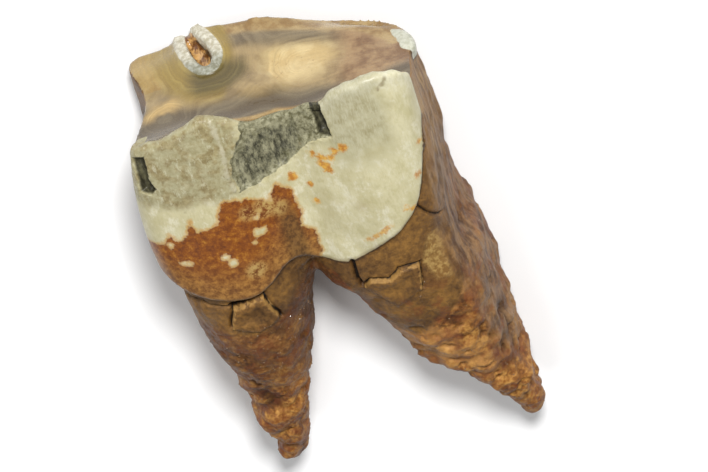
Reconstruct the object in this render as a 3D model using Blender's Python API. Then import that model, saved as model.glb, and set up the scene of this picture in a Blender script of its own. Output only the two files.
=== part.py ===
"""A fossil cheek tooth from a woolly rhino's lower jaw, lying on its tongue side.

The tooth is shaped in millimetres in a frame of its own: x runs along the jaw to the front,
y from the cheek to the tongue, and z from the root tips up to the chewing surface, with z = 0
near the gum line. It is then laid down, cheek side up, in metres, on the plane z = 0.
"""

import math

import bmesh
import bpy
import numpy as np
from mathutils import Matrix, Vector, noise

METRES = 0.001
VOXEL = 0.62
TRIANGLES = 9400
LYING_TILT = math.radians(3.5)
RESTING_WEAR = 0.8

# Outlines of the crown's dentine at three heights, from the back cheek corner round by the front.
CORE_HEIGHTS = (-4.0, 10.0, 30.0)
CORE_LOW = (
    (-23.0, -9.6), (-19.6, -11.8), (-13.0, -13.0), (-6.0, -11.8), (0.0, -9.6), (6.0, -11.4),
    (12.0, -12.6), (17.0, -11.6), (19.8, -8.6), (21.2, 0.0), (20.8, 8.6), (13.0, 12.0),
    (0.0, 11.0), (-11.0, 12.6), (-22.0, 11.6), (-23.4, 1.0),
)
CORE_MIDDLE = (
    (-23.8, -10.0), (-19.5, -12.4), (-12.5, -13.4), (-5.5, -12.2), (0.5, -9.6), (6.0, -11.8),
    (12.5, -13.2), (18.0, -12.2), (21.6, -9.0), (22.4, 0.0), (22.3, 9.0), (13.0, 14.3),
    (1.0, 12.2), (-11.0, 14.0), (-22.5, 12.0), (-22.7, 1.0),
)
CORE_TOP = (
    (-22.6, -9.0), (-18.0, -10.4), (-12.0, -11.0), (-5.5, -10.2), (0.5, -8.4), (6.0, -9.8),
    (12.5, -11.0), (18.0, -10.4), (22.2, -8.4), (22.4, -0.5), (20.8, 6.0), (13.0, 9.9),
    (2.0, 11.4), (-10.0, 12.4), (-22.8, 12.0), (-20.3, 1.0),
)
CORE_FLOOR = -3.0
CORE_POINTS = 96
CORE_RINGS = 14
WEAR_RINGS = 26
WEAR_SPAN = (0.97, 0.02)

# Heights of the worn chewing surface, in rows from the cheek to the tongue.
WEAR_X = (-24.0, -15.0, -9.0, -3.0, 2.0, 8.0, 14.0, 23.0)
WEAR_ROWS = (
    (-13.0, (27.6, 29.2, 28.8, 26.6, 25.6, 27.0, 28.2, 27.6)),
    (-6.0, (26.8, 27.6, 27.4, 26.2, 25.6, 26.1, 26.6, 26.2)),
    (0.0, (27.2, 28.3, 28.7, 28.2, 27.5, 27.3, 26.8, 25.6)),
    (7.0, (28.1, 28.9, 29.8, 30.2, 29.7, 28.3, 27.2, 24.2)),
    (13.0, (27.8, 28.2, 30.4, 30.4, 30.4, 27.2, 23.9, 18.6)),
)

# Outer face of the enamel on the cheek side, at three heights, from the back to the front.
ENAMEL_HEIGHTS = (-3.0, 10.0, 30.0)
ENAMEL_LOW = (
    (-24.0, -7.4), (-25.1, -9.9), (-23.4, -12.7), (-18.8, -14.6), (-12.5, -15.3), (-6.0, -13.8),
    (0.0, -11.4), (6.0, -13.2), (12.0, -14.7), (17.0, -13.9), (19.8, -11.6), (20.8, -8.8),
)
ENAMEL_MIDDLE = (
    (-24.9, -7.6), (-26.0, -10.2), (-23.8, -13.3), (-18.5, -14.8), (-12.3, -15.4), (-5.8, -14.0),
    (0.3, -11.6), (6.0, -13.4), (12.0, -15.1), (17.5, -14.4), (20.8, -12.0), (22.0, -9.0),
)
ENAMEL_TOP = (
    (-22.3, -8.8), (-22.9, -10.4), (-21.2, -12.0), (-17.0, -12.8), (-11.5, -13.3), (-5.5, -12.2),
    (0.3, -10.4), (5.5, -11.8), (12.0, -13.3), (18.0, -12.8), (21.8, -10.9), (22.9, -8.2),
)
ENAMEL_THICK = 2.2
ENAMEL_LIP = 0.5
ENAMEL_POINTS = 90
ENAMEL_RINGS = 16

# Lower edge of the enamel and its worn rim, as heights along x.
GUM_LINE = (
    (-27.0, 4.5), (-24.4, 1.0), (-19.6, -2.4), (-16.0, -3.5), (-10.5, -3.4), (-8.3, -2.2),
    (-6.0, -0.3), (-4.2, 0.4), (-2.5, -0.1), (-0.7, -1.6), (2.3, -2.8), (4.5, -2.8), (7.1, -1.8),
    (10.9, 0.3), (15.1, 2.9), (17.5, 5.3), (18.9, 7.5), (20.6, 12.5), (22.2, 18.8), (23.0, 21.0),
)
RIM_LINE = (
    (-24.0, 26.6), (-22.0, 27.9), (-18.0, 28.7), (-14.0, 30.3), (-11.0, 31.3), (-8.0, 30.3),
    (-5.5, 28.6), (-2.5, 26.8), (2.6, 27.0), (5.2, 28.0), (7.3, 28.0), (9.5, 29.8), (12.5, 30.8),
    (20.0, 30.6), (22.1, 29.4), (23.0, 27.4),
)

# The fold of enamel that stands up as a U in the back half of the chewing surface.
FOLD_PATH = (
    (-14.2, 13.3), (-14.0, 10.3), (-12.9, 6.3), (-11.7, 3.8), (-10.1, 2.2), (-8.4, 2.8),
    (-7.8, 5.2), (-8.8, 8.4), (-10.2, 11.0), (-11.3, 13.3),
)
FOLD_POINTS = 60
FOLD_WIDTH = 2.2
FOLD_RISE = 1.0
FOLD_FOOT = 20.0
# Its ridge as shares of its half width, with how far each lies under its top.
FOLD_RIDGE = ((-1.0, 0.7), (-0.7, 0.15), (0.0, 0.0), (0.7, 0.15), (1.0, 0.7))

# The surface rises towards the fold as a soft collar, and is sunk to a pit within it.
COLLAR_RISE = 0.8
COLLAR_REACH = 3.2
PIT_SINK = 1.8
PIT_EDGE = 0.9

# A small tip on the far rim of the chewing surface, as x and y.
FAR_TIP = (-1.2, 12.4)
FAR_TIP_RISE = 1.1
FAR_TIP_REACH = 1.3

# A scrap of enamel left on the front corner of the tongue side.
SCRAP_OUTLINE = ((20.0, 6.6), (22.6, 5.6), (23.7, 1.8), (23.2, 0.2), (21.6, 1.2), (20.6, 4.2))
SCRAP_POINTS = 24
SCRAP_FOOT = 22.4
SCRAP_FOOT_SHARE = 0.7
# Its rounded top as shares of its outline, with how far each stands over the surface.
SCRAP_TOP = ((1.0, -0.3), (0.9, 0.5), (0.5, 0.7))

# Roots as level sections: height, back, front, cheek and tongue limits.
BACK_ROOT = (
    (8.0, -24.2, -1.0, -13.4, 12.4),
    (-7.0, -24.8, -1.9, -13.8, 12.8),
    (-14.0, -24.0, -5.0, -13.0, 12.4),
    (-22.0, -22.6, -6.9, -11.2, 11.8),
    (-30.0, -21.4, -9.8, -8.6, 10.6),
    (-38.0, -20.4, -12.4, -5.6, 9.0),
    (-46.0, -19.6, -14.2, -2.8, 7.4),
    (-50.0, -20.4, -15.4, -0.8, 6.2),
    (-51.8, -20.2, -16.4, 0.8, 4.8),
)
FRONT_ROOT = (
    (8.0, -1.0, 21.9, -13.2, 12.4),
    (-5.0, -3.2, 21.9, -13.6, 12.9),
    (-8.5, -2.6, 22.2, -13.5, 12.9),
    (-12.0, 0.0, 23.6, -13.0, 12.7),
    (-20.0, 3.6, 24.0, -11.6, 12.1),
    (-27.0, 6.6, 24.2, -10.0, 10.8),
    (-33.5, 9.6, 24.2, -8.2, 9.8),
    (-38.0, 13.4, 24.2, -6.4, 8.8),
    (-44.0, 17.2, 24.0, -4.4, 7.8),
    (-50.0, 20.0, 23.8, -1.6, 6.8),
    (-52.6, 21.0, 23.5, 0.6, 5.6),
    (-54.0, 21.6, 23.1, 1.8, 4.6),
)
CHEEK_SQUARENESS = 2.6
TONGUE_SQUARENESS = 5.0
ROOT_POINTS = 48
ROOT_RINGS = 44

# The fused skin is softened a little.
RELAX_FACTOR = 0.5
RELAX_STEPS = 2

# Where a patch of the enamel has flaked away at the rim, as x and z on the cheek side, and the
# two notches beside it and at the back corner.
CHIP = (
    (-4.5, 34.0), (-5.6, 27.1), (-8.2, 23.6), (-8.8, 20.8), (-8.4, 17.0), (-3.7, 17.5),
    (-0.3, 18.2), (2.4, 20.2), (4.2, 21.8), (8.0, 22.8), (7.9, 28.4), (7.8, 34.0),
)
CHIP_DEPTH = 0.9
CHIP_EDGE = (-0.25, 0.45)
CHIP_GRAIN = 0.3
CHIP_GRAIN_SIZE = 2.0
CHIP_GRAIN_STRETCH = (1.6, 1.0, 1.0)
NOTCHES = (
    ((7.7, 34.0), (8.3, 22.7), (6.1, 23.0), (6.0, 26.6), (6.6, 34.0)),
    ((-23.6, 26.6), (-21.4, 27.2), (-21.8, 22.9), (-21.1, 20.9), (-22.1, 20.0), (-24.1, 20.2)),
)
NOTCH_DEPTH = 1.5
NOTCH_EDGE = (-0.2, 0.8)

# Cracks in the root skin under the gum line, as x and z on the cheek side, each with its depth.
CRACKS = (
    (0.7, ((-24.0, -4.4), (-21.2, -4.4), (-19.9, -5.2), (-17.9, -5.6), (-16.5, -5.8))),
    (1.6, ((-16.4, -5.6), (-14.4, -5.2), (-12.9, -4.8), (-10.9, -4.4))),
    (0.9, ((-16.5, -6.1), (-16.6, -7.0), (-17.5, -9.0), (-17.8, -10.4))),
    (0.9, ((-10.8, -4.6), (-10.4, -7.1), (-9.5, -9.5), (-9.3, -10.9))),
    (1.3, ((4.5, -3.0), (4.3, -6.3), (4.7, -8.3))),
    (1.0, ((4.7, -8.6), (6.2, -7.3), (9.4, -7.9), (11.0, -6.8), (11.3, -6.3), (14.9, -6.6))),
    (0.7, ((14.9, -6.6), (14.7, -7.8), (14.0, -11.6))),
    (0.7, ((17.4, 4.2), (18.6, 1.6), (19.4, 0.4), (20.2, -0.8))),
)
CRACK_EDGE = (0.25, 0.9)

# Relief of the bare roots, which grows coarser towards the tips: the heights between which it
# sets in and is full, then sizes, and how far each kind stands out or sinks, at the gum line and
# how much more at the tips.
BARE_HEIGHTS = (-9.0, -3.0)
COARSE_HEIGHTS = (-36.0, -14.0)
LUMP_SIZE = 7.0
LUMP_RISE = (0.25, 0.65)
KNOB_SIZE = 4.6
KNOB_RISE = (0.15, 1.0)
KNOB_MIDDLE = 0.45
KNOB_ROUNDNESS = 1.6
PIT_SIZE = 2.6
PIT_SHARE = (0.35, 0.75)
PIT_DEPTH = 0.7

# Long streaks down the front face and the tongue side: where each face sets in across the tooth
# and fades out towards the chewing surface, and how far its streaks and lumps stand out.
STREAK_SIZE = 2.6
STREAK_STRETCH = (1.0, 1.0, 5.0)
FRONT_FACE = (18.0, 21.0)
FRONT_FACE_HEIGHTS = (16.0, 24.0)
FRONT_FACE_RISE = (0.45, 0.3)
TONGUE_FACE = (7.0, 10.0)
TONGUE_FACE_HEIGHTS = (22.0, 27.0)
TONGUE_FACE_RISE = (0.2, 0.25)

# The cheek side's marks fade out where its skin turns away and past its edge, as y.
CHEEK_FACING = (0.15, 0.45)
CHEEK_EDGE = (3.0, 6.0)

# Smooth noise: how fast it fades and how much finer it grows from one octave to the next, and
# where each kind of relief takes its share of it from.
NOISE_FADE = 0.9
NOISE_STEP = 2.0
PIT_SHIFT = 7.0
STREAK_SHIFT = 3.0
CHIP_SHIFT = 5.0

TOOTH_COLOUR = (0.33, 0.2, 0.11, 1.0)
TOOTH_ROUGHNESS = 0.5


def clear_scene():
    for obj in list(bpy.data.objects):
        bpy.data.objects.remove(obj, do_unlink=True)


def through(rows, t):
    """Values at t on smooth curves through rows of (t, value, value, ...)."""
    rows = np.asarray(rows, float)
    rows = rows[np.argsort(rows[:, 0])]
    knots = rows[:, 0]
    values = rows[:, 1:]
    slopes = np.gradient(values, knots, axis=0)
    t = np.clip(np.atleast_1d(t), knots[0], knots[-1])
    i = np.clip(np.searchsorted(knots, t) - 1, 0, len(knots) - 2)
    step = (knots[i + 1] - knots[i])[:, None]
    u = (t - knots[i])[:, None] / step
    start = (2 * u**3 - 3 * u**2 + 1) * values[i] + (u**3 - 2 * u**2 + u) * step * slopes[i]
    end = (3 * u**2 - 2 * u**3) * values[i + 1] + (u**3 - u**2) * step * slopes[i + 1]
    return start + end


def spline(points, count, closed=False):
    """A smooth curve through the points, as count points spread evenly by index."""
    points = np.asarray(points, float)
    spans = len(points) if closed else len(points) - 1
    t = np.arange(count) * spans / (count if closed else count - 1)
    i = np.minimum(t.astype(int), spans - 1)
    u = (t - i)[:, None]
    if closed:
        around = [points[(i + k) % len(points)] for k in (-1, 0, 1, 2)]
    else:
        around = [points[np.clip(i + k, 0, spans)] for k in (-1, 0, 1, 2)]
    a, b, c, d = around
    bend = (2 * a - 5 * b + 4 * c - d) * u**2 + (3 * b - a - 3 * c + d) * u**3
    return b + 0.5 * ((c - a) * u + bend)


def at_height(outlines, heights, z):
    """The outline at height z, one height for each point, from outlines at three heights."""
    low, middle, top = heights
    z = np.asarray(z, float)[..., None]
    to_low = (z - middle) * (z - top) / ((low - middle) * (low - top))
    to_middle = (z - low) * (z - top) / ((middle - low) * (middle - top))
    to_top = (z - low) * (z - middle) / ((top - low) * (top - middle))
    return to_low * outlines[0] + to_middle * outlines[1] + to_top * outlines[2]


def path_distance(points, path):
    """Distance in a plane from each point to a line of straight runs."""
    best = np.full(len(points), np.inf)
    for a, b in zip(np.asarray(path)[:-1], np.asarray(path)[1:]):
        run = b - a
        along = np.clip((points - a) @ run / (run @ run), 0, 1)
        best = np.minimum(best, np.linalg.norm(points - a - along[:, None] * run, axis=1))
    return best


def polygon_depth(points, polygon):
    """How far each point lies inside a closed outline, negative outside it."""
    polygon = np.asarray(polygon, float)
    inside = np.zeros(len(points), bool)
    for a, b in zip(polygon, np.roll(polygon, -1, axis=0)):
        spans = (a[1] > points[:, 1]) != (b[1] > points[:, 1])
        rise = b[1] - a[1] if b[1] != a[1] else 1.0
        crossing = a[0] + (points[:, 1] - a[1]) * (b[0] - a[0]) / rise
        inside ^= spans & (points[:, 0] < crossing)
    edge = path_distance(points, np.vstack((polygon, polygon[:1])))
    return np.where(inside, edge, -edge)


def ramp(values, low, high):
    """0 below low, 1 above high, and smooth between."""
    t = np.clip((values - low) / (high - low), 0, 1)
    return t * t * (3 - 2 * t)


def wear_height(xy):
    """Height of the worn chewing surface over each (x, y)."""
    knots = np.array([y for y, row in WEAR_ROWS])
    across = [through(np.column_stack((WEAR_X, row)), xy[:, 0])[:, 0] for y, row in WEAR_ROWS]
    across = np.array(across)
    i = np.clip(np.searchsorted(knots, xy[:, 1]) - 1, 0, len(knots) - 2)
    u = ramp(xy[:, 1], knots[i], knots[i + 1])
    column = np.arange(len(xy))
    height = across[i, column] * (1 - u) + across[i + 1, column] * u
    path = spline(FOLD_PATH, FOLD_POINTS)
    collar = COLLAR_RISE * np.exp(-((path_distance(xy, path) / COLLAR_REACH) ** 2))
    tip = FAR_TIP_RISE * np.exp(-((np.hypot(*(xy - FAR_TIP).T) / FAR_TIP_REACH) ** 2))
    pit = PIT_SINK * (polygon_depth(xy, path) > PIT_EDGE)
    return height + collar + tip - pit


def add_loft(bm, rings):
    """Adds a closed solid through rings of points, with its first and last ring filled."""
    rows = [[bm.verts.new(point) for point in ring] for ring in rings]
    for lower, upper in zip(rows, rows[1:]):
        for k in range(len(lower)):
            bm.faces.new((lower[k - 1], lower[k], upper[k], upper[k - 1]))
    bm.faces.new(rows[0][::-1])
    bm.faces.new(rows[-1])


def add_core(bm):
    shapes = (CORE_LOW, CORE_MIDDLE, CORE_TOP)
    outlines = [spline(points, CORE_POINTS, closed=True) for points in shapes]
    edge = wear_height(outlines[2])
    rings = []
    for share in np.linspace(0, 1, CORE_RINGS):
        z = CORE_FLOOR + share * (edge - CORE_FLOOR)
        rings.append(np.column_stack((at_height(outlines, CORE_HEIGHTS, z), z)))
    rim = rings[-1][:, :2]
    centre = rim.mean(axis=0)
    for share in np.linspace(*WEAR_SPAN, WEAR_RINGS):
        xy = centre + share * (rim - centre)
        rings.append(np.column_stack((xy, wear_height(xy))))
    add_loft(bm, rings)


def add_enamel(bm):
    shapes = (ENAMEL_LOW, ENAMEL_MIDDLE, ENAMEL_TOP)
    outlines = [spline(points, ENAMEL_POINTS) for points in shapes]
    along = np.gradient(outlines[1], axis=0)
    inward = np.column_stack((-along[:, 1], along[:, 0]))
    inward /= np.linalg.norm(inward, axis=1)[:, None]
    low = through(GUM_LINE, outlines[1][:, 0])[:, 0]
    top = through(RIM_LINE, outlines[2][:, 0])[:, 0]
    heights = low + np.linspace(0, 1, ENAMEL_RINGS)[:, None] * (top - low)
    outer = np.array([at_height(outlines, ENAMEL_HEIGHTS, z) for z in heights])
    outer = np.dstack((outer, heights))
    step = np.column_stack((inward, np.zeros(len(inward)))) * ENAMEL_THICK
    lip = np.array((0.0, 0.0, ENAMEL_LIP))
    rings = []
    for k in range(ENAMEL_POINTS):
        face = outer[:, k]
        rim = [face[-1] + step[k] * share + lip for share in (0.25, 0.5, 0.75)]
        foot = [face[0] + step[k] * share - lip * 0.5 for share in (0.75, 0.5, 0.25)]
        rings.append(np.vstack((face, rim, face[::-1] + step[k], foot)))
    add_loft(bm, rings)


def add_fold(bm):
    path = spline(FOLD_PATH, FOLD_POINTS)
    along = np.gradient(path, axis=0)
    side = np.column_stack((-along[:, 1], along[:, 0]))
    side *= FOLD_WIDTH / 2 / np.linalg.norm(side, axis=1)[:, None]
    top = wear_height(path) + FOLD_RISE
    rings = []
    for point, across, z in zip(path, side, top):
        ridge = [(share, z - under) for share, under in FOLD_RIDGE]
        section = [(-1.0, FOLD_FOOT), *ridge, (1.0, FOLD_FOOT)]
        rings.append([(*(point + across * share), height) for share, height in section])
    add_loft(bm, rings)


def add_scrap(bm):
    outline = spline(SCRAP_OUTLINE, SCRAP_POINTS, closed=True)
    centre = outline.mean(axis=0)
    foot = centre + SCRAP_FOOT_SHARE * (outline - centre)
    rings = [np.column_stack((foot, np.full(SCRAP_POINTS, SCRAP_FOOT)))]
    for share, rise in SCRAP_TOP:
        xy = centre + share * (outline - centre)
        rings.append(np.column_stack((xy, wear_height(xy) + rise)))
    add_loft(bm, rings)


def add_root(bm, stations):
    angles = np.linspace(0, 2 * math.pi, ROOT_POINTS, endpoint=False)
    power = 2 / np.where(np.sin(angles) < 0, CHEEK_SQUARENESS, TONGUE_SQUARENESS)
    across = np.sign(np.cos(angles)) * np.abs(np.cos(angles)) ** power
    deep = np.sign(np.sin(angles)) * np.abs(np.sin(angles)) ** power
    rings = []
    for z in np.linspace(stations[0][0], stations[-1][0], ROOT_RINGS):
        back, front, cheek, tongue = through(stations, z)[0]
        x = (back + front) / 2 + across * (front - back) / 2
        y = (cheek + tongue) / 2 + deep * (tongue - cheek) / 2
        rings.append(np.column_stack((x, y, np.full(ROOT_POINTS, z))))
    add_loft(bm, rings)


def evaluated_copy(obj):
    graph = bpy.context.evaluated_depsgraph_get()
    return bpy.data.meshes.new_from_object(obj.evaluated_get(graph))


def fused_mesh():
    """The solids of crown, enamel and roots grown together as one skin."""
    bm = bmesh.new()
    add_core(bm)
    add_enamel(bm)
    add_fold(bm)
    add_scrap(bm)
    add_root(bm, BACK_ROOT)
    add_root(bm, FRONT_ROOT)
    bmesh.ops.recalc_face_normals(bm, faces=bm.faces)
    mesh = bpy.data.meshes.new("tooth_solids")
    bm.to_mesh(mesh)
    bm.free()
    obj = bpy.data.objects.new("tooth_solids", mesh)
    bpy.context.scene.collection.objects.link(obj)
    remesh = obj.modifiers.new("Fuse", "REMESH")
    remesh.mode = "VOXEL"
    remesh.voxel_size = VOXEL
    relax = obj.modifiers.new("Relax", "SMOOTH")
    relax.factor = RELAX_FACTOR
    relax.iterations = RELAX_STEPS
    fused = evaluated_copy(obj)
    bpy.data.objects.remove(obj, do_unlink=True)
    return fused


def fractal(points, size, octaves, stretch=(1.0, 1.0, 1.0), shift=0.0):
    """Smooth noise from about -1 to 1, with features of the given size."""
    places = points / (np.array(stretch) * size) + shift
    return np.array([noise.fractal(Vector(p), NOISE_FADE, NOISE_STEP, octaves) for p in places])


def knobs(points, size):
    """Rounded lumps about size apart, from 0 between them to 1 on top."""
    near = np.array([noise.voronoi(Vector(p))[0][0] for p in points / size])
    return np.clip(1 - near * near * KNOB_ROUNDNESS, 0, 1)


def root_relief(points):
    """Lumps, knobs, pits and long streaks of the bare roots."""
    x, y, z = points.T
    bare = 1 - ramp(z, *BARE_HEIGHTS)
    coarse = 1 - ramp(z, *COARSE_HEIGHTS)
    front_face = ramp(x, *FRONT_FACE) * (1 - ramp(z, *FRONT_FACE_HEIGHTS))
    tongue_face = ramp(y, *TONGUE_FACE) * (1 - ramp(z, *TONGUE_FACE_HEIGHTS))
    lumps = fractal(points, LUMP_SIZE, 3)
    pits = ramp(fractal(points, PIT_SIZE, 2, shift=PIT_SHIFT), *PIT_SHARE)
    streaks = fractal(points, STREAK_SIZE, 2, stretch=STREAK_STRETCH, shift=STREAK_SHIFT)
    relief = bare * (LUMP_RISE[0] + LUMP_RISE[1] * coarse) * lumps
    relief += bare * (KNOB_RISE[0] + KNOB_RISE[1] * coarse) * (knobs(points, KNOB_SIZE) - KNOB_MIDDLE)
    relief += front_face * (FRONT_FACE_RISE[0] * streaks + FRONT_FACE_RISE[1] * lumps)
    relief += tongue_face * (TONGUE_FACE_RISE[0] * streaks + TONGUE_FACE_RISE[1] * lumps)
    return relief - PIT_DEPTH * bare * coarse * pits


def cheek_relief(points, normals):
    """The chip, the notches and the cracks, cut into the cheek side only."""
    facing = ramp(-normals[:, 1], *CHEEK_FACING) * ramp(-points[:, 1], *CHEEK_EDGE)
    face = points[:, [0, 2]]
    grain = fractal(points, CHIP_GRAIN_SIZE, 2, stretch=CHIP_GRAIN_STRETCH, shift=CHIP_SHIFT)
    relief = -ramp(polygon_depth(face, CHIP), *CHIP_EDGE) * (CHIP_DEPTH + CHIP_GRAIN * grain)
    for notch in NOTCHES:
        relief -= NOTCH_DEPTH * ramp(polygon_depth(face, notch), *NOTCH_EDGE)
    for depth, path in CRACKS:
        relief -= depth * (1 - ramp(path_distance(face, path), *CRACK_EDGE))
    return relief * facing


def sculpt(mesh):
    """Moves the skin in and out along its normals."""
    points = np.empty(len(mesh.vertices) * 3)
    normals = np.empty(len(mesh.vertices) * 3)
    mesh.vertices.foreach_get("co", points)
    mesh.vertex_normals.foreach_get("vector", normals)
    points = points.reshape(-1, 3)
    normals = normals.reshape(-1, 3)
    relief = root_relief(points) + cheek_relief(points, normals)
    points += normals * relief[:, None]
    mesh.vertices.foreach_set("co", points.ravel())
    mesh.update()


def thinned_mesh(mesh, triangles):
    """The same skin with fewer triangles."""
    mesh.calc_loop_triangles()
    obj = bpy.data.objects.new("tooth_fine", mesh)
    bpy.context.scene.collection.objects.link(obj)
    thin = obj.modifiers.new("Thin", "DECIMATE")
    thin.ratio = triangles / len(mesh.loop_triangles)
    thin.use_collapse_triangulate = True
    thinned = evaluated_copy(obj)
    bpy.data.objects.remove(obj, do_unlink=True)
    return thinned


def lay_down(mesh):
    """Turns the tooth onto its tongue side, in metres, with small worn spots where it rests."""
    upright_to_lying = Matrix(((1, 0, 0), (0, 0, 1), (0, -1, 0))).to_4x4()
    turn = Matrix.Rotation(LYING_TILT, 4, "X") @ upright_to_lying
    mesh.transform(Matrix.Scale(METRES, 4) @ turn)
    points = np.empty(len(mesh.vertices) * 3)
    mesh.vertices.foreach_get("co", points)
    points = points.reshape(-1, 3)
    floor = points[:, 2].min() + RESTING_WEAR * METRES
    points[:, 2] = np.maximum(points[:, 2] - floor, 0)
    points[:, :2] -= (points[:, :2].max(axis=0) + points[:, :2].min(axis=0)) / 2
    mesh.vertices.foreach_set("co", points.ravel())
    mesh.update()


def tooth_material():
    material = bpy.data.materials.new("fossil_tooth")
    material.use_nodes = True
    shader = material.node_tree.nodes["Principled BSDF"]
    shader.inputs["Base Color"].default_value = TOOTH_COLOUR
    shader.inputs["Roughness"].default_value = TOOTH_ROUGHNESS
    shader.inputs["Metallic"].default_value = 0.0
    return material


def build_tooth():
    fine = fused_mesh()
    sculpt(fine)
    mesh = thinned_mesh(fine, TRIANGLES)
    lay_down(mesh)
    mesh.name = "tooth"
    mesh.materials.clear()
    mesh.materials.append(tooth_material())
    mesh.shade_smooth()
    tooth = bpy.data.objects.new("tooth", mesh)
    bpy.context.scene.collection.objects.link(tooth)
    return tooth


def main():
    clear_scene()
    build_tooth()


main()
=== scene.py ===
import math

import bmesh
import bpy
import numpy as np
from mathutils import Matrix, Vector, noise


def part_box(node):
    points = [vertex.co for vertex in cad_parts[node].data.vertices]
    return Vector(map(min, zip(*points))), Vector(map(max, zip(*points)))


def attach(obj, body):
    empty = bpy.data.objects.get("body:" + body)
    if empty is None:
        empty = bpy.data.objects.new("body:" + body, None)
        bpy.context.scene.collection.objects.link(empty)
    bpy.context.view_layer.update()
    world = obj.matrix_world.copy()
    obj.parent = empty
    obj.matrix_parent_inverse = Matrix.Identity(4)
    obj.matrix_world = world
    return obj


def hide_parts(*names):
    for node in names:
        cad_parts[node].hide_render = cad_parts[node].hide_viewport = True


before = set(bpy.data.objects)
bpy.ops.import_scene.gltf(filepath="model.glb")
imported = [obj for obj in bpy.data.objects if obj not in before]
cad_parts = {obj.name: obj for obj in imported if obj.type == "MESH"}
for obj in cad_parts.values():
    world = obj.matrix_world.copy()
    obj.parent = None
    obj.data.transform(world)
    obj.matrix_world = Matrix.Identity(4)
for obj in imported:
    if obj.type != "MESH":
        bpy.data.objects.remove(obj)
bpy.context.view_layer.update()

# The tooth is shaped in millimetres in a frame of its own: x along the jaw to the front, y from
# the cheek to the tongue, z from the root tips up to the chewing surface. It is then laid down.
METRES = 0.001
VOXEL = 0.44
RELAX_SHARE = 0.5
RELAX_ROUNDS = 4
LYING_TILT = math.radians(3.5)

# Outlines of the crown's dentine at three heights, from the back cheek corner round by the front.
CORE_HEIGHTS = (-4.0, 10.0, 30.0)
CORE_LOW = (
    (-23.0, -9.6), (-19.6, -11.8), (-13.0, -13.0), (-6.0, -11.8), (0.0, -9.6), (6.0, -11.4),
    (12.0, -12.6), (17.0, -11.6), (19.8, -8.6), (21.2, 0.0), (20.8, 8.6), (13.0, 12.0),
    (0.0, 11.0), (-11.0, 12.6), (-22.0, 11.6), (-23.4, 1.0),
)
CORE_MIDDLE = (
    (-23.8, -10.0), (-19.5, -12.4), (-12.5, -13.4), (-5.5, -12.2), (0.5, -9.6), (6.0, -11.8),
    (12.5, -13.2), (18.0, -12.2), (21.6, -9.0), (22.4, 0.0), (22.3, 9.0), (13.0, 14.3),
    (1.0, 12.2), (-11.0, 14.0), (-22.5, 12.0), (-22.7, 1.0),
)
CORE_TOP = (
    (-22.6, -9.0), (-18.0, -10.4), (-12.0, -11.0), (-5.5, -10.2), (0.5, -8.4), (6.0, -9.8),
    (12.5, -11.0), (18.0, -10.4), (22.2, -8.4), (22.4, -0.5), (20.8, 6.0), (13.0, 9.9),
    (2.0, 11.4), (-10.0, 12.4), (-22.8, 12.0), (-20.3, 1.0),
)
CORE_FLOOR = -3.0
CORE_POINTS = 96
CORE_RINGS = 14
WEAR_RINGS = 40
WEAR_SPAN = (0.98, 0.02)
# The first point of the core's outlines that the enamel leaves bare.
CORE_BARE_START = 9

# Heights of the worn chewing surface, in rows from the cheek to the tongue.
WEAR_X = (-24.0, -15.0, -9.0, -3.0, 2.0, 8.0, 14.0, 23.0)
WEAR_ROWS = (
    (-13.0, (27.6, 29.2, 28.8, 26.6, 25.6, 27.0, 28.2, 27.6)),
    (-6.0, (26.8, 27.6, 27.4, 26.2, 25.6, 26.1, 26.6, 26.2)),
    (0.0, (27.2, 28.3, 28.7, 28.2, 27.5, 27.3, 26.8, 25.6)),
    (7.0, (28.1, 28.9, 29.8, 30.2, 29.7, 28.3, 27.2, 24.2)),
    (13.0, (27.8, 28.2, 30.4, 30.4, 30.4, 27.2, 23.9, 18.6)),
)

# Outer face of the enamel on the cheek side, at three heights, from the back to the front.
ENAMEL_HEIGHTS = (-3.0, 10.0, 30.0)
ENAMEL_LOW = (
    (-24.0, -7.4), (-25.1, -9.9), (-23.4, -12.7), (-18.8, -14.6), (-12.5, -15.3), (-6.0, -13.8),
    (0.0, -11.4), (6.0, -13.2), (12.0, -14.7), (17.0, -13.9), (19.8, -11.6), (20.8, -8.8),
)
ENAMEL_MIDDLE = (
    (-24.9, -7.6), (-26.0, -10.2), (-23.8, -13.3), (-18.5, -14.8), (-12.3, -15.4), (-5.8, -14.0),
    (0.3, -11.6), (6.0, -13.4), (12.0, -15.1), (17.5, -14.4), (20.8, -12.0), (22.0, -9.0),
)
ENAMEL_TOP = (
    (-22.3, -8.8), (-22.9, -10.4), (-21.2, -12.0), (-17.0, -12.8), (-11.5, -13.3), (-5.5, -12.2),
    (0.3, -10.4), (5.5, -11.8), (12.0, -13.3), (18.0, -12.8), (21.8, -10.9), (22.9, -8.2),
)
ENAMEL_THICK = 2.2
ENAMEL_SEAM = 0.1
ENAMEL_LIP = 0.5
LIP_SHARES = (0.25, 0.5, 0.75)
ENAMEL_ENDS = (-7.6, -8.6)
END_SLOPE = 1.5
ENAMEL_POINTS = 110
ENAMEL_RINGS = 20

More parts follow.
